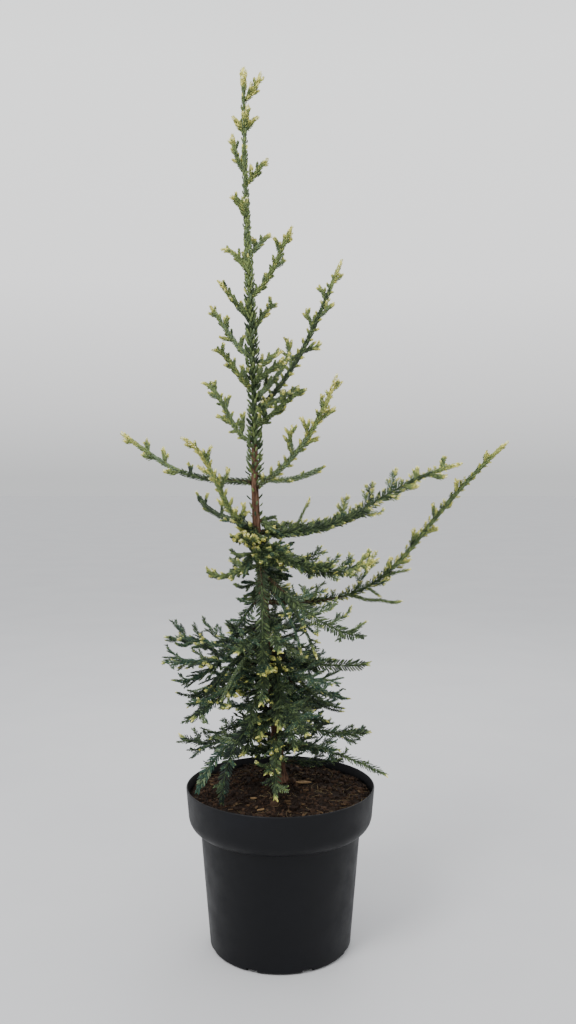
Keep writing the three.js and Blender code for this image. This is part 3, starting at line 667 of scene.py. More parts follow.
class Heap:
    """Triangles of one kind and colour, gathered to be joined, and the nodes they stand for."""

    def __init__(self):
        self.parts = []
        self.nodes = set()

    def add(self, places, faces, node=None):
        self.parts.append((places, faces))
        if node:
            self.nodes.add(node)

    def split(self):
        """The parts in runs that have few enough triangles for one piece."""
        run, total = [], 0
        for part in self.parts:
            if total + len(part[1]) > MOST_TRIANGLES:
                yield run
                run, total = [], 0
            run.append(part)
            total += len(part[1])
        yield run

    def make(self, name, paint, slot, smooth=False):
        """Joins the parts into pieces. Their number goes where the name has brackets."""
        for number, run in enumerate(self.split(), 1):
            places, faces = zip(*run)
            starts = np.cumsum([0, *map(len, places)])
            faces = np.concatenate([f + start for f, start in zip(faces, starts)]).tolist()
            make_piece(name.format(number), np.concatenate(places), faces, paint, slot, self.nodes, smooth)


needle_heaps = {tint: Heap() for tint in TINTS}
twig_heaps = {"bark": Heap(), "green": Heap(), "gold": Heap()}


def add_needles(tints, node, base, along, facing, length, width, kind):
    """Puts needles of one row in the heaps of their tints."""
    for tint in set(tints):
        own = tints == tint
        places, faces = blades(base[own], along[own], facing[own], length[own], width[own], kind)
        needle_heaps[tint].add(places, faces, node)


def blades(base, along, facing, length, width, kind):
    """Needles with a keel and two edges between root and tip."""
    fine = length.mean() > BLADE["fine_from"]
    length, width = length[:, None], width[:, None]
    across = unit(np.cross(facing, along))
    normal = unit(np.cross(along, across))

    def point(share, sideways, lift):
        rise = BEND[kind] * length * share**2 + lift * width
        return base + along * length * share + normal * rise + across * width * sideways / 2

    places = [point(0, 0, 0)]
    for share, breadth in BLADE["fine" if fine else "plain"]:
        places += [point(share, -breadth, 0), point(share, 0, KEEL[kind]), point(share, breadth, 0)]
    places.append(point(1, 0, BLADE["tip_lift"]))
    per = len(places)
    tip = per - 1
    faces = [(0, 2, 1), (0, 3, 2), (tip, tip - 3, tip - 2), (tip, tip - 2, tip - 1)]
    if fine:
        faces += [(1, 2, 5), (1, 5, 4), (2, 3, 6), (2, 6, 5)]
    starts = (np.arange(len(base)) * per)[:, None, None]
    return np.stack(places, 1).reshape(-1, 3), (np.array(faces)[None] + starts).reshape(-1, 3)


def tube_triangles(rows, sides):
    """Triangles of a tube of rings, with its two ends closed."""
    faces = []
    for k in range(rows - 1):
        for i in range(sides):
            a, b = k * sides + i, k * sides + (i + 1) % sides
            faces += [(a, b, b + sides), (a, b + sides, a + sides)]
    last = (rows - 1) * sides
    for i in range(1, sides - 1):
        faces += [(0, i + 1, i), (last, last + i, last + i + 1)]
    return np.array(faces)


def tube(places, radii, sides):
    """A closed tube through places, pointed or flat at its ends."""
    ahead = unit(np.gradient(places, axis=0))
    across = unit(np.cross(ahead, np.where(np.abs(ahead[:, 2:]) > 0.9, (1.0, 0, 0), UP)))
    over = np.cross(ahead, across)
    turn = full_turn(sides)[None, :, None]
    ring = across[:, None] * np.cos(turn) + over[:, None] * np.sin(turn)
    body = (places[:, None] + ring * radii[:, None, None]).reshape(-1, 3)
    return body, tube_triangles(len(places), sides)[:, ::-1]


def pick(choices, rng):
    names, weights = zip(*choices)
    return names[int(rng.choice(len(names), p=np.array(weights) / sum(weights)))]


def needle_tints(twig, from_tip, rng):
    """Tint of each needle: young ones stand within a certain way of the tip, and a random share of the others
    take a lighter copy of their tint as painted highlights.
    """
    later = GROWTH[twig.shoot["group"]]["later"]
    age = from_tip / twig.young + rng.normal(later, YOUNG["needle_spread"], len(from_tip))
    if twig.young < PLAIN_BELOW["young"]:
        age += PLAIN_BELOW["age"]
    tints = np.full(len(from_tip), twig.old, dtype=object)
    # Painted highlights: a random share of needles take a lighter copy of the old tint.
    tints[rng.random(len(from_tip)) < PAINTED_HIGHLIGHT_SHARE] = PAINTED_HIGHLIGHT_TINTS[twig.old]
    for tint, reach in reversed(YOUNG_STEPS):
        tints[age < reach] = tint
    return tints


def twig_radius(form, share):
    return form.stem * (1 - STEM["taper"] * share)


def bark_share(shoot, path):
    """Which share of a shoot has bark: its bare bough, or else a short stretch."""
    return shoot["limb"] / path.length if shoot["limb"] else STEM["reach"]


def bough_radius(shoot, path, share):
    """Radius of a shoot that leaves the trunk: a tapering bough that ends as a twig."""
    stem = FORMS[shoot["form"]][0].stem
    root = trunk_radius(shoot["at"]) * (LIMB["root_share"] if shoot["limb"] else STEM["root_share"])
    end = max(LIMB["tip_radius"], stem)
    tip = STEM["cord_tip_share" if shoot["cord_from"] < 1 else "tip_share"]
    return np.interp(share, (0, bark_share(shoot, path), 1), (max(root, end), end, stem * tip))


def young_length(shoot, path):
    """How much of a twig is young: more where it ends in a yellow cluster at the front."""
    x, y, z = path.points[-1]
    for (left, up), (wide, high), young in YOUNG_SPOTS:
        inside = ((x - left) / wide) ** 2 + ((z - up) / high) ** 2 < 1
        if inside and y < YOUNG_SPOT_BACK and shoot["name"] != "cord":
            return max(young, shoot["young"])
    return shoot["young"]


# A twig for its needles. stem: its radius by share. bare: its share without needles.
Twig = namedtuple("Twig", "path face shoot stem old young bare")


def dress(path, face, shoot, level, rng, bare=0.0, radius=None, until=1.0):
    """Gives one twig its needles, and a stem unless it has a radius of its own."""
    young = young_length(shoot, path) if level else shoot["young"]
    if level and young > max(YOUNG_SPOT_LEAST, shoot["young"]):
        shoot = {**shoot, "form": "scale"}
    form = FORMS[shoot["form"]][level]
    young *= YOUNG["by_level"][level] * rng.lognormal(0, YOUNG["spread"])
    old = pick(OLD_TINTS[shoot["palette"]], rng)
    if level == 0:
        young = shoot.get("young_end", young)
        old = shoot.get("old", old)
    stem = radius or partial(twig_radius, form)
    twig = Twig(path, face, shoot, stem, old, young, bare)
    flat = shoot["form"] in FLAT_FORMS
    add_row(twig, form, flat, rng, until)
    if flat:
        add_row(twig, COVER._replace(length=form.length * COVER.length), False, rng)
    if radius is None:
        stops = np.linspace(0, 1, max(3, int(path.length / STEM["step"])) + 1)
        heap = twig_heaps["green" if path.length > STEM["gold_below"] * young else "gold"]
        sides = 5 if level < 2 else 4
        heap.add(*tube(path.at(stops), stem(stops), sides), node=shoot["node"])


def add_row(twig, form, flat, rng, until=1.0):
    """Needles along a twig, in two rows or all round it."""
    path, shoot = twig.path, twig.shoot
    span = until - twig.bare
    count = max(4, int(path.length * span / form.pitch))
    share = twig.bare + span * (np.arange(count) + rng.uniform(0.2, 0.8)) / count
    place, tangent = path.at(share), path.tangent(share)
    side, normal = carried_directions(twig.face, tangent)
    if flat:
        sign = np.where(np.arange(count) % 2 == 0, 1.0, -1.0)[:, None]
        out = unit(side * sign + normal * rng.normal(*NEEDLE["row_lift"], (count, 1)))
        facing = unit(normal + side * rng.normal(0, NEEDLE["row_roll"], (count, 1)))
    else:
        turn = (np.arange(count) * GOLDEN_TURN + rng.uniform(0, 6))[:, None]
        squash = NEEDLE["fan_squash"] if shoot["fan"] else 1.0
        out = unit(side * np.cos(turn) + normal * np.sin(turn) * squash)
        facing = out
    from_tip = (1 - share) * path.length
    closing = np.clip(from_tip / (NEEDLE["close_over"] * form.length), NEEDLE["closest"], 1)
    opening = np.clip(NEEDLE["opening"] + share * path.length / (NEEDLE["open_over"] * form.length), 0, 1)
    angle = np.radians((form.angle + rng.normal(0, NEEDLE["angle_spread"], count)) * closing)[:, None]
    along = tangent * np.cos(angle) + out * np.sin(angle)
    kept = NEEDLE["kept_top" if shoot["palette"] == "top" else "kept"]
    length = shoot["thin"] * form.length * opening * (kept + (1 - kept) * closing)
    length *= rng.uniform(*NEEDLE["lengths"], count)
    width = form.width * rng.uniform(*NEEDLE["widths"], count)
    tints = needle_tints(twig, from_tip, rng)
    base = place + out * (twig.stem(share) * NEEDLE["seat"])[:, None]
    add_needles(tints, shoot["node"], base, along, facing, length, width, "flat" if flat else "round")


def branch(path, face, shoot, level, rng, first=TWIGS_FIRST["twig"]):
    """Carries a twig on to finer ones, down to the last level."""
    rule, growth = FINER[level], GROWTH[shoot["group"]]
    if level == 0:
        usual = SCALE_TWIGS if shoot["form"] == "scale" else growth
        every, size = usual["every"], usual["twig"]
    else:
        every, size = rule["every"], path.length * rule["share"]
    count = int(path.length * (1 - first) / every)
    size = min(size, rule.get("most", size))
    if count < 1 or size < rule["least"]:
        return
    rise = rng.uniform(*growth["rise"])
    angles = growth["angles"][min(level, 1)]
    lie = partial(carried_directions, face)
    for sub, sub_face in side_paths(path, count, size, first, lie, rng.random, rise, angles):
        kind = shoot if level else aged(shoot, rng)
        if level == 0 and shoot["group"] == "leader" and left_at(path, sub) < YOUNG_BACK["until"]:
            kind = {**kind, "young": kind["young"] * YOUNG_BACK["share"]}
        grow(waved(sub, sub_face, rng), sub_face, kind, level + 1 if level else 2, rng)


def grow(path, face, shoot, level, rng):
    """One twig with the finer ones on it, unless it would meet the pot or the trunk."""
    if meets_pot(path.points[2:]) or meets_trunk(path.points[6:]):
        return
    dress(path, face, shoot, level, rng)
    if level < len(FINER) and (level < 2 or shoot["fan"]):
        branch(path, face, shoot, level, rng)


def aged(shoot, rng):
    """The shoot for one of its forks: low in the crown few have much young growth."""
    if shoot["group"] not in ("low", "fill"):
        return shoot
    lit = rng.random() < YOUNG_LIT["share"]
    return {**shoot, "young": shoot["young"] * YOUNG_LIT["lit" if lit else "plain"]}


def grow_shoot(shoot, seed):
    """One shoot from the trunk with all its side shoots, as in the part, and finer twigs."""
    rng = np.random.default_rng(seed)
    source = Stream(seed)
    path = shoot_path(shoot)
    face = spray_directions(path.tangent(0.5), shoot["turned"])[1]
    inside = float(trunk_radius(shoot["at"])) / path.length
    radius = partial(bough_radius, shoot, path)
    cord = shoot["cord_from"]
    outer = {**shoot, "form": "scale", "palette": "scale", "fan": False,
             "young": OUTER["young"] * shoot["young"], "thin": shoot["outer_thin"]}
    dress(path, face, shoot, 0, rng, bare=min(inside, 0.5), radius=radius, until=cord)
    if cord < 1:
        dress(path, face, outer, 0, rng, bare=cord, radius=radius)
    add_shoot_stem(shoot, path, radius)
    from_share = shoot["limb"] / path.length + CLEARANCE / path.length if shoot["limb"] else 0.0
    first = max(FORK["first"], from_share + FORK["after_limb"])
    short_from, short = shoot["short"]
    lie = partial(spray_directions, tilt=shoot["tilt"])
    for fork, fork_face in side_paths(path, shoot["forks"], shoot["fork"], first, lie, source.draw):
        reached = left_at(path, fork)
        if reached > short_from:
            fork = Path(fork.points[0] + (fork.points - fork.points[0]) * short)
        kind = outer if reached > cord * OUTER["from"] else shoot
        grow(waved(fork, fork_face, rng), fork_face, aged(kind, rng), 1, rng)
    if not shoot["plain"]:
        first = max(TWIGS_FIRST["shoot"], TWIGS_FIRST["trunk_radii"] * inside)
        branch(path, face, shoot, 0, rng, first)
    if has_strands(shoot):
        add_strands(path, face, shoot, rng)
    for share, size, lift, rise in shoot["cords"]:
        add_side_cord(path, share, size, lift, rise, shoot, rng)


def add_side_cord(path, share, size, lift, rise, shoot, rng):
    """A thin cord that leaves a shoot above it, or below it where its slope is negative."""
    tangent = path.tangent(share)
    level = unit(np.cross(UP, tangent))
    over = np.cross(tangent, level)
    leaving = tangent * cos(radians(lift)) + over * sin(radians(lift))
    cord = twig_curve(path.at(share), leaving, size, rise)
    kind = {**shoot, "form": "cord", "fan": False, "thin": SIDE_CORD_NEEDLES, "palette": "side"}
    dress(waved(cord, over, rng), over, kind, 1, rng)


def has_strands(shoot):
    """Low shoots that reach far and don't droop have strands beside them, but not the plain ones."""
    far = shoot["out"] >= STRANDS["least_out"] and shoot["end"] >= STRANDS["least_end"]
    return far and shoot["group"] == "low" and shoot.get("strands", not shoot["plain"])


def add_strands(path, face, shoot, rng):
    """Long twigs that leave a low shoot at a small angle and hang a little beside it."""
    lie = partial(carried_directions, face)
    span = (STRANDS["last"] - STRANDS["first"]) / STRANDS["count"]
    for i in range(STRANDS["count"]):
        first = STRANDS["first"] + span * i
        size = path.length * rng.uniform(*STRANDS["share"])
        rise = rng.uniform(*STRANDS["rise"])
        for sub, sub_face in side_paths(path, 1, size, first, lie, rng.random, rise, STRANDS["angle"], i):
            grow(waved(sub, sub_face, rng), sub_face, aged(shoot, rng), 1, rng)


def add_shoot_stem(shoot, path, radius):
    """The stem of a shoot: bark on its first stretch, then green. Boughs have their own mesh."""
    def stretch(heap, start, end, share, sides):
        stops = np.linspace(start, end, max(4, int(path.length * share / STEM["step"])))
        twig_heaps[heap].add(*tube(path.at(stops), radius(stops), sides), node=shoot["node"])

    bark_end = bark_share(shoot, path)
    if not shoot["limb"]:
        stretch("green" if shoot["group"] == "leader" else "bark", 0, bark_end, bark_end, 7)
    stretch("green", bark_end - STEM["overlap"], 1, 1 - bark_end, 6)


def from_row(usual, columns, row):
    """A shoot from its row, which may end with what it has besides."""
    besides = row[len(columns):]
    return {**USUAL, **usual, **dict(zip(columns, row)), **(besides[0] if besides else {})}


def all_shoots():
    """The part's shoots in its own order, then those grown here only."""
    shoots = []
    for group, (usual, rows) in SHOOT_GROUPS.items():
        for number, row in enumerate(rows, 1):
            name = f"{group}_{number}"
            shoots.append({"name": name, "near": name, "group": group, **from_row(usual, COLUMNS, row)})
    for usual, rows in MORE_SHOOTS:
        for row in rows:
            shoot = from_row(usual, MORE_COLUMNS, row)
            shoots.append({"name": shoot["near"], "group": shoot["near"].split("_")[0], **shoot})
    shoots += filling_shoots([s for s in shoots if s["group"] != "leader"])
    return [completed(shoot) for shoot in shoots]


def completed(shoot):
    """The shoot with its node, what it has by its place, and what it has of its own."""
    low, top = shoot["at"] < LOW_BELOW, shoot["at"] > TOP_ABOVE
    usual = {
        "node": "foliage_" + shoot["near"],
        "palette": "top" if top else "low" if low else "fan" if shoot["fan"] else "scale",
        "form": "scale" if not shoot["fan"] else "fan" if low else "brush",
        "young": GROWTH[shoot["group"]]["young"],
        "turned": shoot["tilt"], "thin": 1.0, "outer_thin": 1.0, "cord_from": 1.0,
        "short": (1.0, 1.0), "plain": False, "cords": (),
    }
    return {**shoot, **usual, **OWN.get(shoot["name"], {})}


def filling_shoots(named):
    """Short shoots in bands round the trunk, which fill the crown near it."""
    rng = np.random.default_rng(FILLING["seed"])
    found = []
    for low, high, count, out, up in FILLING["bands"]:
        for i in range(count):
            at = low + (high - low) * (i + rng.random()) / count
            turn = degrees(GOLDEN_TURN) * i + rng.uniform(*FILLING["turn"])
            nearest = min(named, key=lambda s: abs(s["at"] - at))
            spans = {"out": out, "up": up, "leave": FILLING["leave"], "end": FILLING["end"]}
            shoot = {name: rng.uniform(*span) for name, span in spans.items()}
            shoot.update(near=nearest["near"], at=at, turn=turn)
            found.append({**USUAL, **FILLING["same"], **shoot})
    return found


def grow_leader():
    """The trunk's own needles, which stand out in its middle and lie close near its top."""
    rng = np.random.default_rng(LEADER["seed"])
    step = LEADER["step"]
    heights = np.arange(LEADER["heights"][0], TRUNK_TOP, step)
    chance = leader_value("per_mm", heights) * step
    heights = np.repeat(heights, (chance + rng.random(len(heights))).astype(int))
    heights = heights + rng.uniform(0, step, len(heights))
    count = len(heights)
    turn = np.arange(count) * GOLDEN_TURN
    out = np.stack([np.cos(turn), np.sin(turn), np.zeros(count)], -1)
    angle = leader_value("angle", heights) + rng.normal(0, LEADER["angle_spread"], count)
    angle = np.radians(angle)[:, None]
    along = UP * np.cos(angle) + out * np.sin(angle)
    length = leader_value("length", heights) * rng.uniform(*LEADER["lengths"], count)
    base = trunk_axis(heights) + out * (leader_radius(heights) * LEADER["seat"])[:, None]
    width = leader_value("width", heights) * rng.uniform(*LEADER["widths"], count)
    old = [pick(OLD_TINTS["top" if z > TOP_ABOVE else "leader"], rng) for z in heights]
    tints = np.array(old, dtype=object)
    tints[(rng.random(count) < LEADER["young_share"]) & (heights > LEADER["young_above"])] = "gold"
    add_needles(tints, LEADER_TIP["node"], base, along, out, length, width, "leader")
    grow_leader_tip(rng)


def grow_leader_tip(rng):
    """The end of the leader, and the short fingers round it."""
    ends = (TRUNK_TOP - LEADER_TIP["below_top"], PLANT_TOP - LEADER_TIP["below_top"])
    top = Path(trunk_axis(np.linspace(*ends, LEADER_TIP["steps"])))
    dress(top, FRONT, LEADER_TIP, 0, rng)
    for start, turn in LEADER_FINGERS:
        root, out = trunk_axis(start), level_direction(turn)
        corners = [root + UP * up + out * away for up, away in LEADER_TIP["finger"]]
        dress(bezier((root, *corners), LEADER_TIP["steps"]), FRONT, LEADER_TIP, 2, rng)


def add_object(name, data):
    made = bpy.data.objects.new(name, data)
    bpy.context.scene.collection.objects.link(made)
    return made


def add_mesh(name, places, faces, paint):
    """A mesh from places in millimetres."""
    mesh = bpy.data.meshes.new(name)
    mesh.from_pydata((np.asarray(places) * MM).tolist(), [], faces)
    mesh.materials.append(paint)
    return add_object(name, mesh)


def make_piece(name, places, faces, paint, slot, nodes=(), smooth=True):
    """A mesh that rides on the part and stands for the nodes, where there are any."""
    piece = add_mesh(name, places, faces, paint)
    if smooth:
        piece.data.shade_smooth()
    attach(piece, "root")
    if nodes:
        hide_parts(*sorted(nodes))
    return piece


def grid_faces(rows, sides):
    """Four-sided faces of a tube of rings, with its two ends closed."""
    a = np.arange(sides)
    b = (a + 1) % sides
    band = np.stack([a, b, b + sides, a + sides], 1)
    starts = (np.arange(rows - 1) * sides)[:, None, None]
    ends = range(sides), range((rows - 1) * sides, rows * sides)
    return [*(band + starts).reshape(-1, 4).tolist(), [*reversed(ends[0])], [*ends[1]]]


def bark_relief(turn, along, radius, seed):
    """Height of the bark at each place round a limb: narrow lengthwise ridges and cracks."""
    heights = np.empty(len(turn))
    for i, angle in enumerate(turn):
        place = Vector((
            cos(angle) * radius * BARK["across"] + seed,
            sin(angle) * radius * BARK["across"],
            along * BARK["along"],
        ))
        heights[i] = BARK["ridge"] - abs(noise.fractal(place, *BARK["fractal"]))
    return heights


def limb_mesh(places, radii, depth, seed, level=False):
    """Rings round a line with the bark's relief. Each ring has a row of radii by angle."""
    ahead = unit(np.gradient(places, axis=0))
    across = np.tile((1.0, 0, 0), (len(places), 1)) if level else unit(np.cross(UP, ahead))
    over = np.tile((0, 1.0, 0), (len(places), 1)) if level else np.cross(ahead, across)
    sides = radii.shape[1]
    turn = full_turn(sides)
    body = []
    for place, along, row, right, up in zip(places, Path(places).reached, radii, across, over):
        mean = float(np.mean(row))
        relief = depth * min(1.0, mean / BARK["full_radius"]) * bark_relief(turn, along, mean, seed)
        reach = (row + relief)[:, None]
        body.append(place + reach * (np.cos(turn)[:, None] * right + np.sin(turn)[:, None] * up))
    return np.concatenate(body), grid_faces(len(places), sides)


def trunk_stretch(low, high, depth, seed):
    """The trunk between two heights, with the lobes of its flared foot."""
    heights = np.append(np.arange(low, high, TRUNK["ring_step"]), high)
    swell = TRUNK["flare"] * np.exp(-(heights - TRUNK_FOOT) / TRUNK["flare_height"])
    lobes = 1 + TRUNK["lobe_depth"] * np.cos(TRUNK["lobes"] * full_turn(TRUNK["sides"]))
    radii = leader_radius(heights)[:, None] + swell[:, None] * lobes
    return limb_mesh(trunk_axis(heights), radii, depth, seed, level=True)


def trunk_pieces():
    """The trunk in three stretches: bark below, then green and then pale where it is young."""
    green, pale, lap = LEADER["green_from"], LEADER["pale_from"], TRUNK["overlap"]
    bark = bark_paint("trunk_bark", BARK["trunk"])
    green_stem = stem_paint("leader_green", TINTS["mid"], TINTS["dark"])
    pale_stem = stem_paint("leader_pale", TINTS["sage"], TINTS["mid"])
    for name, low, high, depth, seed, paint in (
        ("trunk_bark", TRUNK_FOOT, green, BARK["depth"], 0, bark),
        ("trunk_leader", green - lap, pale, BARK["leader_depth"], 40, green_stem),
        ("trunk_top", pale - lap, TRUNK_TOP, BARK["leader_depth"], 60, pale_stem),
    ):
        make_piece(name, *trunk_stretch(low, high, depth, seed), paint, "bark", ["trunk"])


def bough_piece(shoots):
    """All boughs of bare wood as one mesh, each with a collar where it leaves the trunk."""
    places, faces, count, nodes = [], [], 0, []
    for seed, shoot in enumerate((s for s in shoots if s["limb"]), LIMB["seed"]):
        path = shoot_path(shoot)
        steps = int(shoot["limb"] / LIMB["ring_step"])
        stops = np.linspace(LIMB["from"], bark_share(shoot, path) * LIMB["past"], steps)
        collar = LIMB["collar"] * np.exp(-stops * path.length / LIMB["collar_length"])
        radii = bough_radius(shoot, path, stops) * (1 + collar)
        radii = np.tile(radii[:, None], (1, LIMB["sides"]))
        body, quads = limb_mesh(path.at(stops), radii, BARK["depth"], seed)
        places.append(body)
        faces += [[i + count for i in quad] for quad in quads]
        count += len(body)
        nodes.append("bough_" + shoot["name"])
    paint = bark_paint("bough_bark", BARK["bough"])
    make_piece("boughs_bark", np.concatenate(places), faces, paint, "bark", nodes)


def revolved(outline, segments):
    """Rings where an outline of radii and heights is turned round the pot's axis."""
    turn = full_turn(segments)
    return [np.stack([r * np.cos(turn), r * np.sin(turn), np.full(segments, z)], 1) for r, z in outline]


def quarter(radius, height, across, up, start):
    """Outline points along a quarter of an ellipse. start is its first angle in degrees."""
    found = []
    for k in range(1, POT["arc_steps"]):
        angle = radians(start + 90 * k / POT["arc_steps"])
        found.append((radius + across * cos(angle), height + up * sin(angle)))
    return found


def pot_side(lift=0.0):
    """The pot's outer side from its foot's rounding up to its collar."""
    p = POT
    step_out = p["collar_foot_radius"] - p["body_top_radius"]
    step_up = p["collar_foot"] - p["body_top"]
    return [
        (p["body_foot_radius"], p["body_foot_radius"] - p["foot_radius"] + lift),
        (p["body_top_radius"], p["body_top"] + lift),
        *quarter(p["body_top_radius"], p["collar_foot"], step_out, step_up, -90),
        (p["collar_foot_radius"], p["collar_foot"]),
    ]


def pot_outline():
    """Round the pot's section: outer side up, over the lip, inner side down to the floor."""
    p = POT
    foot_round = p["body_foot_radius"] - p["foot_radius"]
    lip_top = p["height"] - p["lip"]
    return [
        (p["foot_radius"], 0.0),
        *quarter(p["foot_radius"], foot_round, foot_round, foot_round, -90),
        *pot_side(),
        (p["rim_radius"], lip_top),
        *quarter(p["rim_radius"] - p["lip"], lip_top, p["lip"], p["lip"], 0),
        (p["rim_radius"] - p["lip"], p["height"]),
        (p["rim_radius"] - p["wall"], lip_top),
        *((r - p["wall"], z) for r, z in reversed(pot_side())),
        (p["foot_radius"] - p["wall"], p["floor"]),
    ]


def slot_cutter():
    """Blocks round the pot's foot where its drain slots are."""
    slots = bmesh.new()
    length = DRAIN["outer"] - DRAIN["inner"]
    for i in range(DRAIN["count"]):
        turn = 2 * pi * (i + 0.5) / DRAIN["count"]
        for v in bmesh.ops.create_cube(slots, size=1.0)["verts"]:
            x = (DRAIN["inner"] + (v.co.x + 0.5) * length) * MM
            y = v.co.y * DRAIN["width"] * MM
            z = v.co.z * 2 * DRAIN["height"] * MM
            v.co = (x * cos(turn) - y * sin(turn), x * sin(turn) + y * cos(turn), z)
    mesh = bpy.data.meshes.new("drain_slots")
    slots.to_mesh(mesh)
    slots.free()
    return add_object("drain_slots", mesh)


def pot_piece():
    outline = pot_outline()
    body = np.concatenate(revolved(outline, POT["segments"]))
    faces = grid_faces(len(outline), POT["segments"])
    pot = make_piece("pot_shell", body, faces, pot_paint(), "pot", ["pot"], smooth=False)
    cutter = slot_cutter()
    cut = pot.modifiers.new("drain", "BOOLEAN")
    cut.operation = "DIFFERENCE"
    cut.solver = "EXACT"
    cut.object = cutter
    bpy.context.view_layer.update()
    done = bpy.data.meshes.new_from_object(pot.evaluated_get(bpy.context.evaluated_depsgraph_get()))
    pot.modifiers.clear()
    pot.data = done
    bpy.data.objects.remove(cutter)
    done.shade_smooth()
    done.set_sharp_from_angle(angle=radians(POT["sharp"]))


def from_trunk(x, y):
    """How far a place on the soil is from the middle of the trunk's foot."""
    return hypot(x - RING_CENTRES[0][0], y - RING_CENTRES[0][1])


def soil_radius():
    return pot_inner_radius(SOIL["edge"]) - SOIL["clear"]


def soil_height(x, y):
    """Height of the soil's top: a low mound round the trunk, with lumps and hollows."""
    away = from_trunk(x, y)
    share = min(1.0, max(0.0, (away - SOIL["pad"]) / (soil_radius() - SOIL["pad"])))
    rise = (SOIL["top"] - SOIL["edge"]) * (1 - share) ** SOIL["shape"]
    rough = sum(
        size * noise.fractal(Vector((x * scale, y * scale, layer)), *fractal)
        for size, scale, layer, fractal in SOIL["relief"]
    )
    rough *= min(1.0, away / SOIL["smooth_within"])
    return min(SOIL["edge"] + rise + rough, SOIL["highest"])


def soil_piece():
    """The soil fills the pot, one gap inside its wall, below a rough top."""
    foot = (POT["foot_radius"], POT["floor"] + CLEARANCE)
    side = [(r - POT["wall"] - SOIL["clear"], z) for r, z in (foot, *pot_side(CLEARANCE))]
    rows = revolved(side, SOIL["segments"])
    turn = full_turn(SOIL["segments"])
    for k in range(SOIL["rings"]):
        radius = soil_radius() * (1 - (k / SOIL["rings"]) ** SOIL["ring_shape"])
        ring = [(radius * cos(a), radius * sin(a)) for a in turn]
        rows.append(np.array([(x, y, soil_height(x, y)) for x, y in ring]))
    faces = grid_faces(len(rows), len(turn))
    make_piece("soil_bed", np.concatenate(rows), faces, soil_paint(), "soil", ["soil"])


def scatter(count, rng, inside):
    """Places spread evenly over the soil, some way inside the wall and clear of the trunk."""
    reach = pot_inner_radius(SOIL["edge"]) - inside
    found = []
    while len(found) < count:
        radius = reach * sqrt(rng.random())
        turn = rng.uniform(0, 2 * pi)
        x, y = radius * cos(turn), radius * sin(turn)
        if from_trunk(x, y) > LITTER["clear"]:
            found.append((x, y, soil_height(x, y)))
    return found


def soil_litter():
    """Crumbs, straw fibres and flakes of bark on the soil."""
    rng = np.random.default_rng(LITTER["seed"])
    heaps = {name: Heap() for name in LITTER_COLOURS}
    add_crumbs(heaps["dark_crumbs"], heaps["brown_crumbs"], rng)
    add_fibres(heaps["straw"], heaps["rust_fibres"], rng)
    chips = [(x, y, rng.uniform(*CHIP["length"]), rng.uniform(0, 360))
             for x, y, _ in scatter(CHIP["count"], rng, CHIP["inside"])]
    add_chips(heaps["bark_chips"], chips, CHIP["lift"], rng)
    add_chips(heaps["pale_chips"], CHIP["large"], CHIP["large_lift"], rng)
    for name, heap in heaps.items():
        heap.make(name, litter_paint(name.removesuffix("s"), *LITTER_COLOURS[name]), "soil")


def add_crumbs(dark, brown, rng):
    """Uneven balls of peat."""
    ball = bmesh.new()
    bmesh.ops.create_icosphere(ball, subdivisions=1, radius=1.0)
    ball_places = np.array([v.co for v in ball.verts])
    ball_faces = np.array([[v.index for v in f.verts] for f in ball.faces])
    ball.free()
    for place in scatter(CRUMB["count"], rng, CRUMB["inside"]):
        size = rng.gamma(*CRUMB["size"]) + CRUMB["least"]
        lump = ball_places * rng.uniform(*CRUMB["lumps"], (len(ball_places), 1)) * size
        lump *= rng.uniform(*CRUMB["squash"], 3)
        heap = dark if rng.random() < LITTER["first_share"] else brown
        heap.add(lump + np.array(place) + (0, 0, size * CRUMB["lift"]), ball_faces)


def add_fibres(straw, rust, rng):
    """Thin curved fibres that lie on the soil and rise at one end."""
    t = np.linspace(-0.5, 0.5, FIBRE["points"])[:, None]
    for place in scatter(FIBRE["count"], rng, FIBRE["inside"]):
        length = rng.uniform(*FIBRE["length"])
        turn, lean = rng.uniform(0, 2 * pi), rng.uniform(*FIBRE["lean"])
        ahead = level_direction(turn)
        aside = np.array((-ahead[1], ahead[0], 0))
        bow = aside * (t**2 - 0.1) * length * rng.uniform(*FIBRE["curl"])
        line = np.array(place) + ahead * t * length + bow
        line[:, 2] = [soil_height(x, y) + FIBRE["lift"] for x, y in line[:, :2]]
        line[:, 2] += np.abs(t[:, 0] + 0.5) * lean * length + rng.uniform(*FIBRE["more_lift"])
        line[:, 2] = np.minimum(line[:, 2], POT["height"] - FIBRE["below_rim"])
        heap = straw if rng.random() < LITTER["first_share"] else rust
        heap.add(*tube(line, np.full(len(t), rng.uniform(*FIBRE["radius"])), 4))


def add_chips(heap, chips, lift, rng):
    """Thin flakes of bark with uneven outlines: their places, lengths and turns."""
    sides = CHIP["sides"]
    thick = np.array((0, 0, CHIP["thick"] / 2))
    for x, y, length, turn in chips:
        place = np.array((x, y, soil_height(x, y) + lift))
        angle = radians(turn)
        ahead = np.array((cos(angle), sin(angle), rng.uniform(*CHIP["pitch"])))
        aside = np.array((-sin(angle), cos(angle), rng.uniform(*CHIP["roll"])))
        ring = []
        for i in range(sides):
            a = 2 * pi * i / sides
            reach = rng.uniform(*CHIP["reach"])
            along = ahead * length / 2 * reach * cos(a)
            across = aside * length * CHIP["width"] * reach * sin(a)
            ring.append(place + along + across)
        ring = np.array(ring)
        heap.add(np.concatenate([ring - thick, ring + thick]), tube_triangles(2, sides))


def channels(hex_colour):
    return [int(hex_colour[i:i + 2], 16) for i in (1, 3, 5)]


def linear(hex_colour):
    """Linear colour with alpha from an sRGB hex name."""
    parts = [c / 255 for c in channels(hex_colour)]
    return [c / 12.92 if c <= 0.04045 else ((c + 0.055) / 1.055) ** 2.4 for c in parts] + [1.0]


def shade(hex_colour, factor):
    return "#%02x%02x%02x" % tuple(min(255, int(c * factor)) for c in channels(hex_colour))


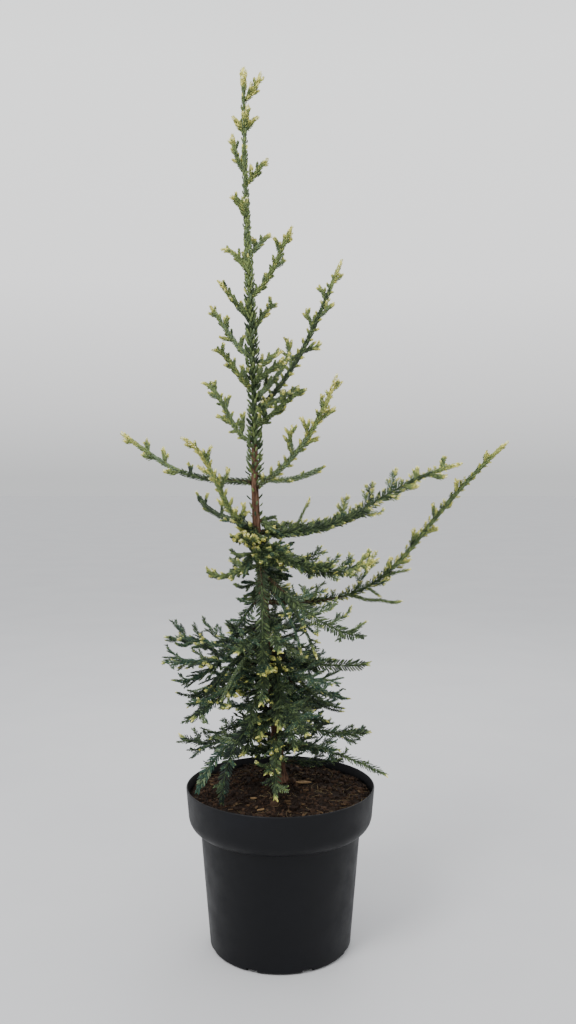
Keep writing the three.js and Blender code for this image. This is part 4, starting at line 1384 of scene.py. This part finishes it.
def add_node(tree, kind, **inputs):
    """A node of a material or the sky. Its inputs get values, or other nodes' outputs."""
    node = tree.nodes.new(kind)
    for name, value in inputs.items():
        if isinstance(value, bpy.types.NodeSocket):
            tree.links.new(value, node.inputs[name])
        else:
            node.inputs[name].default_value = value
    return node


def add_ramp(tree, value, stops):
    """The colour that a value has by its stops, which are hex colours or plain levels."""
    node = add_node(tree, "ShaderNodeValToRGB", Fac=value)
    elements = node.color_ramp.elements
    while len(elements) < len(stops):
        elements.new(0.5)
    for element, (place, colour) in zip(elements, stops):
        element.position = place
        element.color = linear(colour) if isinstance(colour, str) else (colour, colour, colour, 1)
    return node.outputs["Color"]


class Paint:
    """A material that is built up from noise: colour, roughness and relief."""

    def __init__(self, name, roughness, specular=0.15):
        self.material = bpy.data.materials.new(name)
        self.material.use_nodes = True
        self.tree = self.material.node_tree
        self.inputs = self.tree.nodes["Principled BSDF"].inputs
        self.inputs["Roughness"].default_value = roughness
        self.inputs["Specular IOR Level"].default_value = specular
        self.coordinates = self.tree.nodes.new("ShaderNodeTexCoord").outputs["Object"]

    def noise(self, scale, detail=4.0, stretch=(1, 1, 1), roughness=0.55):
        stretched = add_node(self.tree, "ShaderNodeMapping", Scale=stretch, Vector=self.coordinates)
        made = add_node(self.tree, "ShaderNodeTexNoise", Scale=scale, Detail=detail, Roughness=roughness,
                        Vector=stretched.outputs["Vector"])
        return made.outputs["Fac"]

    def colour(self, value, *stops):
        self.tree.links.new(add_ramp(self.tree, value, stops), self.inputs["Base Color"])

    def roughness(self, value, *stops):
        self.tree.links.new(add_ramp(self.tree, value, stops), self.inputs["Roughness"])

    def relief(self, value, distance, strength=1.0):
        bump = add_node(self.tree, "ShaderNodeBump", Distance=distance * MM, Strength=strength, Height=value)
        self.tree.links.new(bump.outputs["Normal"], self.inputs["Normal"])


def needle_paint(tint):
    """Waxy green with a slight mottle from needle to needle."""
    paint = Paint("needle_" + tint, 0.55, 0.22)
    base = TINTS[tint]
    paint.colour(paint.noise(260, 2), (0.35, shade(base, 0.82)), (0.65, shade(base, 1.16)))
    paint.relief(paint.noise(900, 2), 0.15, 0.5)
    return paint.material


def stem_paint(name, light, dark):
    paint = Paint(name, 0.62)
    paint.colour(paint.noise(300, 4, (1, 1, 0.25)), (0.35, dark), (0.65, light))
    paint.relief(paint.noise(500, 3, (1, 1, 0.3)), 0.4)
    return paint.material


def bark_paint(name, colours):
    """Young bark with dark cracks and paler strips along it."""
    paint = Paint(name, 0.85)
    paint.colour(paint.noise(330, 6, (1, 1, 0.12), 0.62), *zip(BARK["stops"], colours))
    paint.relief(paint.noise(620, 6, (1, 1, 0.16), 0.65), 1.1)
    return paint.material


def pot_paint():
    """Matt black moulded plastic with a fine grain, faint scuffs and a little dust."""
    paint = Paint("pot_plastic", 0.5, 0.2)
    paint.colour(paint.noise(9, 5), (0.3, "#06070a"), (0.6, "#090a0e"), (0.8, "#0e1016"))
    paint.roughness(paint.noise(38, 6), (0.3, 0.4), (0.7, 0.56))
    paint.relief(paint.noise(1500, 3), 0.08, 0.5)
    return paint.material


def soil_paint():
    """Dark damp peat with paler crumbs."""
    paint = Paint("peat", 0.95)
    grain = paint.noise(260, 8, roughness=0.7)
    paint.colour(grain, (0.3, "#0f0a08"), (0.5, "#1f1610"), (0.66, "#33271d"), (0.8, "#54442f"))
    paint.relief(paint.noise(420, 8, roughness=0.7), 1.6)
    return paint.material


def litter_paint(name, dark, light):
    paint = Paint(name, 0.9)
    paint.colour(paint.noise(180, 4), (0.35, dark), (0.65, light))
    paint.relief(paint.noise(700, 4), 0.4)
    return paint.material


def floor_paint():
    paint = Paint("studio_floor", 0.75)
    paint.colour(paint.noise(3, 4), (0.3, "#c8c8ca"), (0.7, "#cdcdce"))
    return paint.material


def foliage_pieces():
    """Every needle and twig, joined by kind and colour."""
    for tint, heap in needle_heaps.items():
        heap.make(f"needles_{tint}_{{}}", needle_paint(tint), "foliage")
    bark = bark_paint("twig_bark", BARK["bough"])
    green = stem_paint("twig_green", TINTS["mid"], TINTS["dark"])
    gold = stem_paint("twig_gold", TINTS["gold"], TINTS["lime"])
    for kind, paint, slot in (("bark", bark, "bark"), ("green", green, "foliage"), ("gold", gold, "foliage")):
        twig_heaps[kind].make(f"twigs_{kind}_{{}}", paint, slot, smooth=True)


def studio():
    """A plain pale floor, soft light and the camera."""
    half = STUDIO["floor"] / 2
    corners = [(-half, -half, 0), (half, -half, 0), (half, half, 0), (-half, half, 0)]
    add_mesh("floor", corners, [(0, 1, 2, 3)], floor_paint())
    add_sky()
    for name, place, size, power in STUDIO["lamps"]:
        data = bpy.data.lights.new(name, "AREA")
        data.size = size
        data.energy = power
        lamp = add_object(name, data)
        lamp.location = place
        aim = Vector(STUDIO["aim"]) - Vector(place)
        lamp.rotation_euler = aim.to_track_quat("-Z", "Y").to_euler()
    data = bpy.data.cameras.new("camera")
    data.lens = CAMERA["lens"]
    data.sensor_width = CAMERA["sensor"]
    camera = add_object("camera", data)
    camera.location = Vector(CAMERA["place"]) * MM
    camera.rotation_euler = (radians(90 - CAMERA["down"]), 0, 0)
    bpy.context.scene.camera = camera


def add_sky():
    """Soft light from all round, by height."""
    world = bpy.data.worlds.new("studio")
    bpy.context.scene.world = world
    world.use_nodes = True
    tree = world.node_tree
    directions = add_node(tree, "ShaderNodeTexCoord").outputs["Generated"]
    heights = add_node(tree, "ShaderNodeSeparateXYZ", Vector=directions).outputs["Z"]
    background = tree.nodes["Background"].inputs
    tree.links.new(add_ramp(tree, heights, STUDIO["sky"]), background["Color"])
    background["Strength"].default_value = STUDIO["sky_strength"]


def main():
    studio()
    shoots = all_shoots()
    for seed, shoot in enumerate(shoots, 1):
        grow_shoot(shoot, seed)
    grow_leader()
    foliage_pieces()
    trunk_pieces()
    bough_piece(shoots)
    pot_piece()
    soil_piece()
    soil_litter()


main()
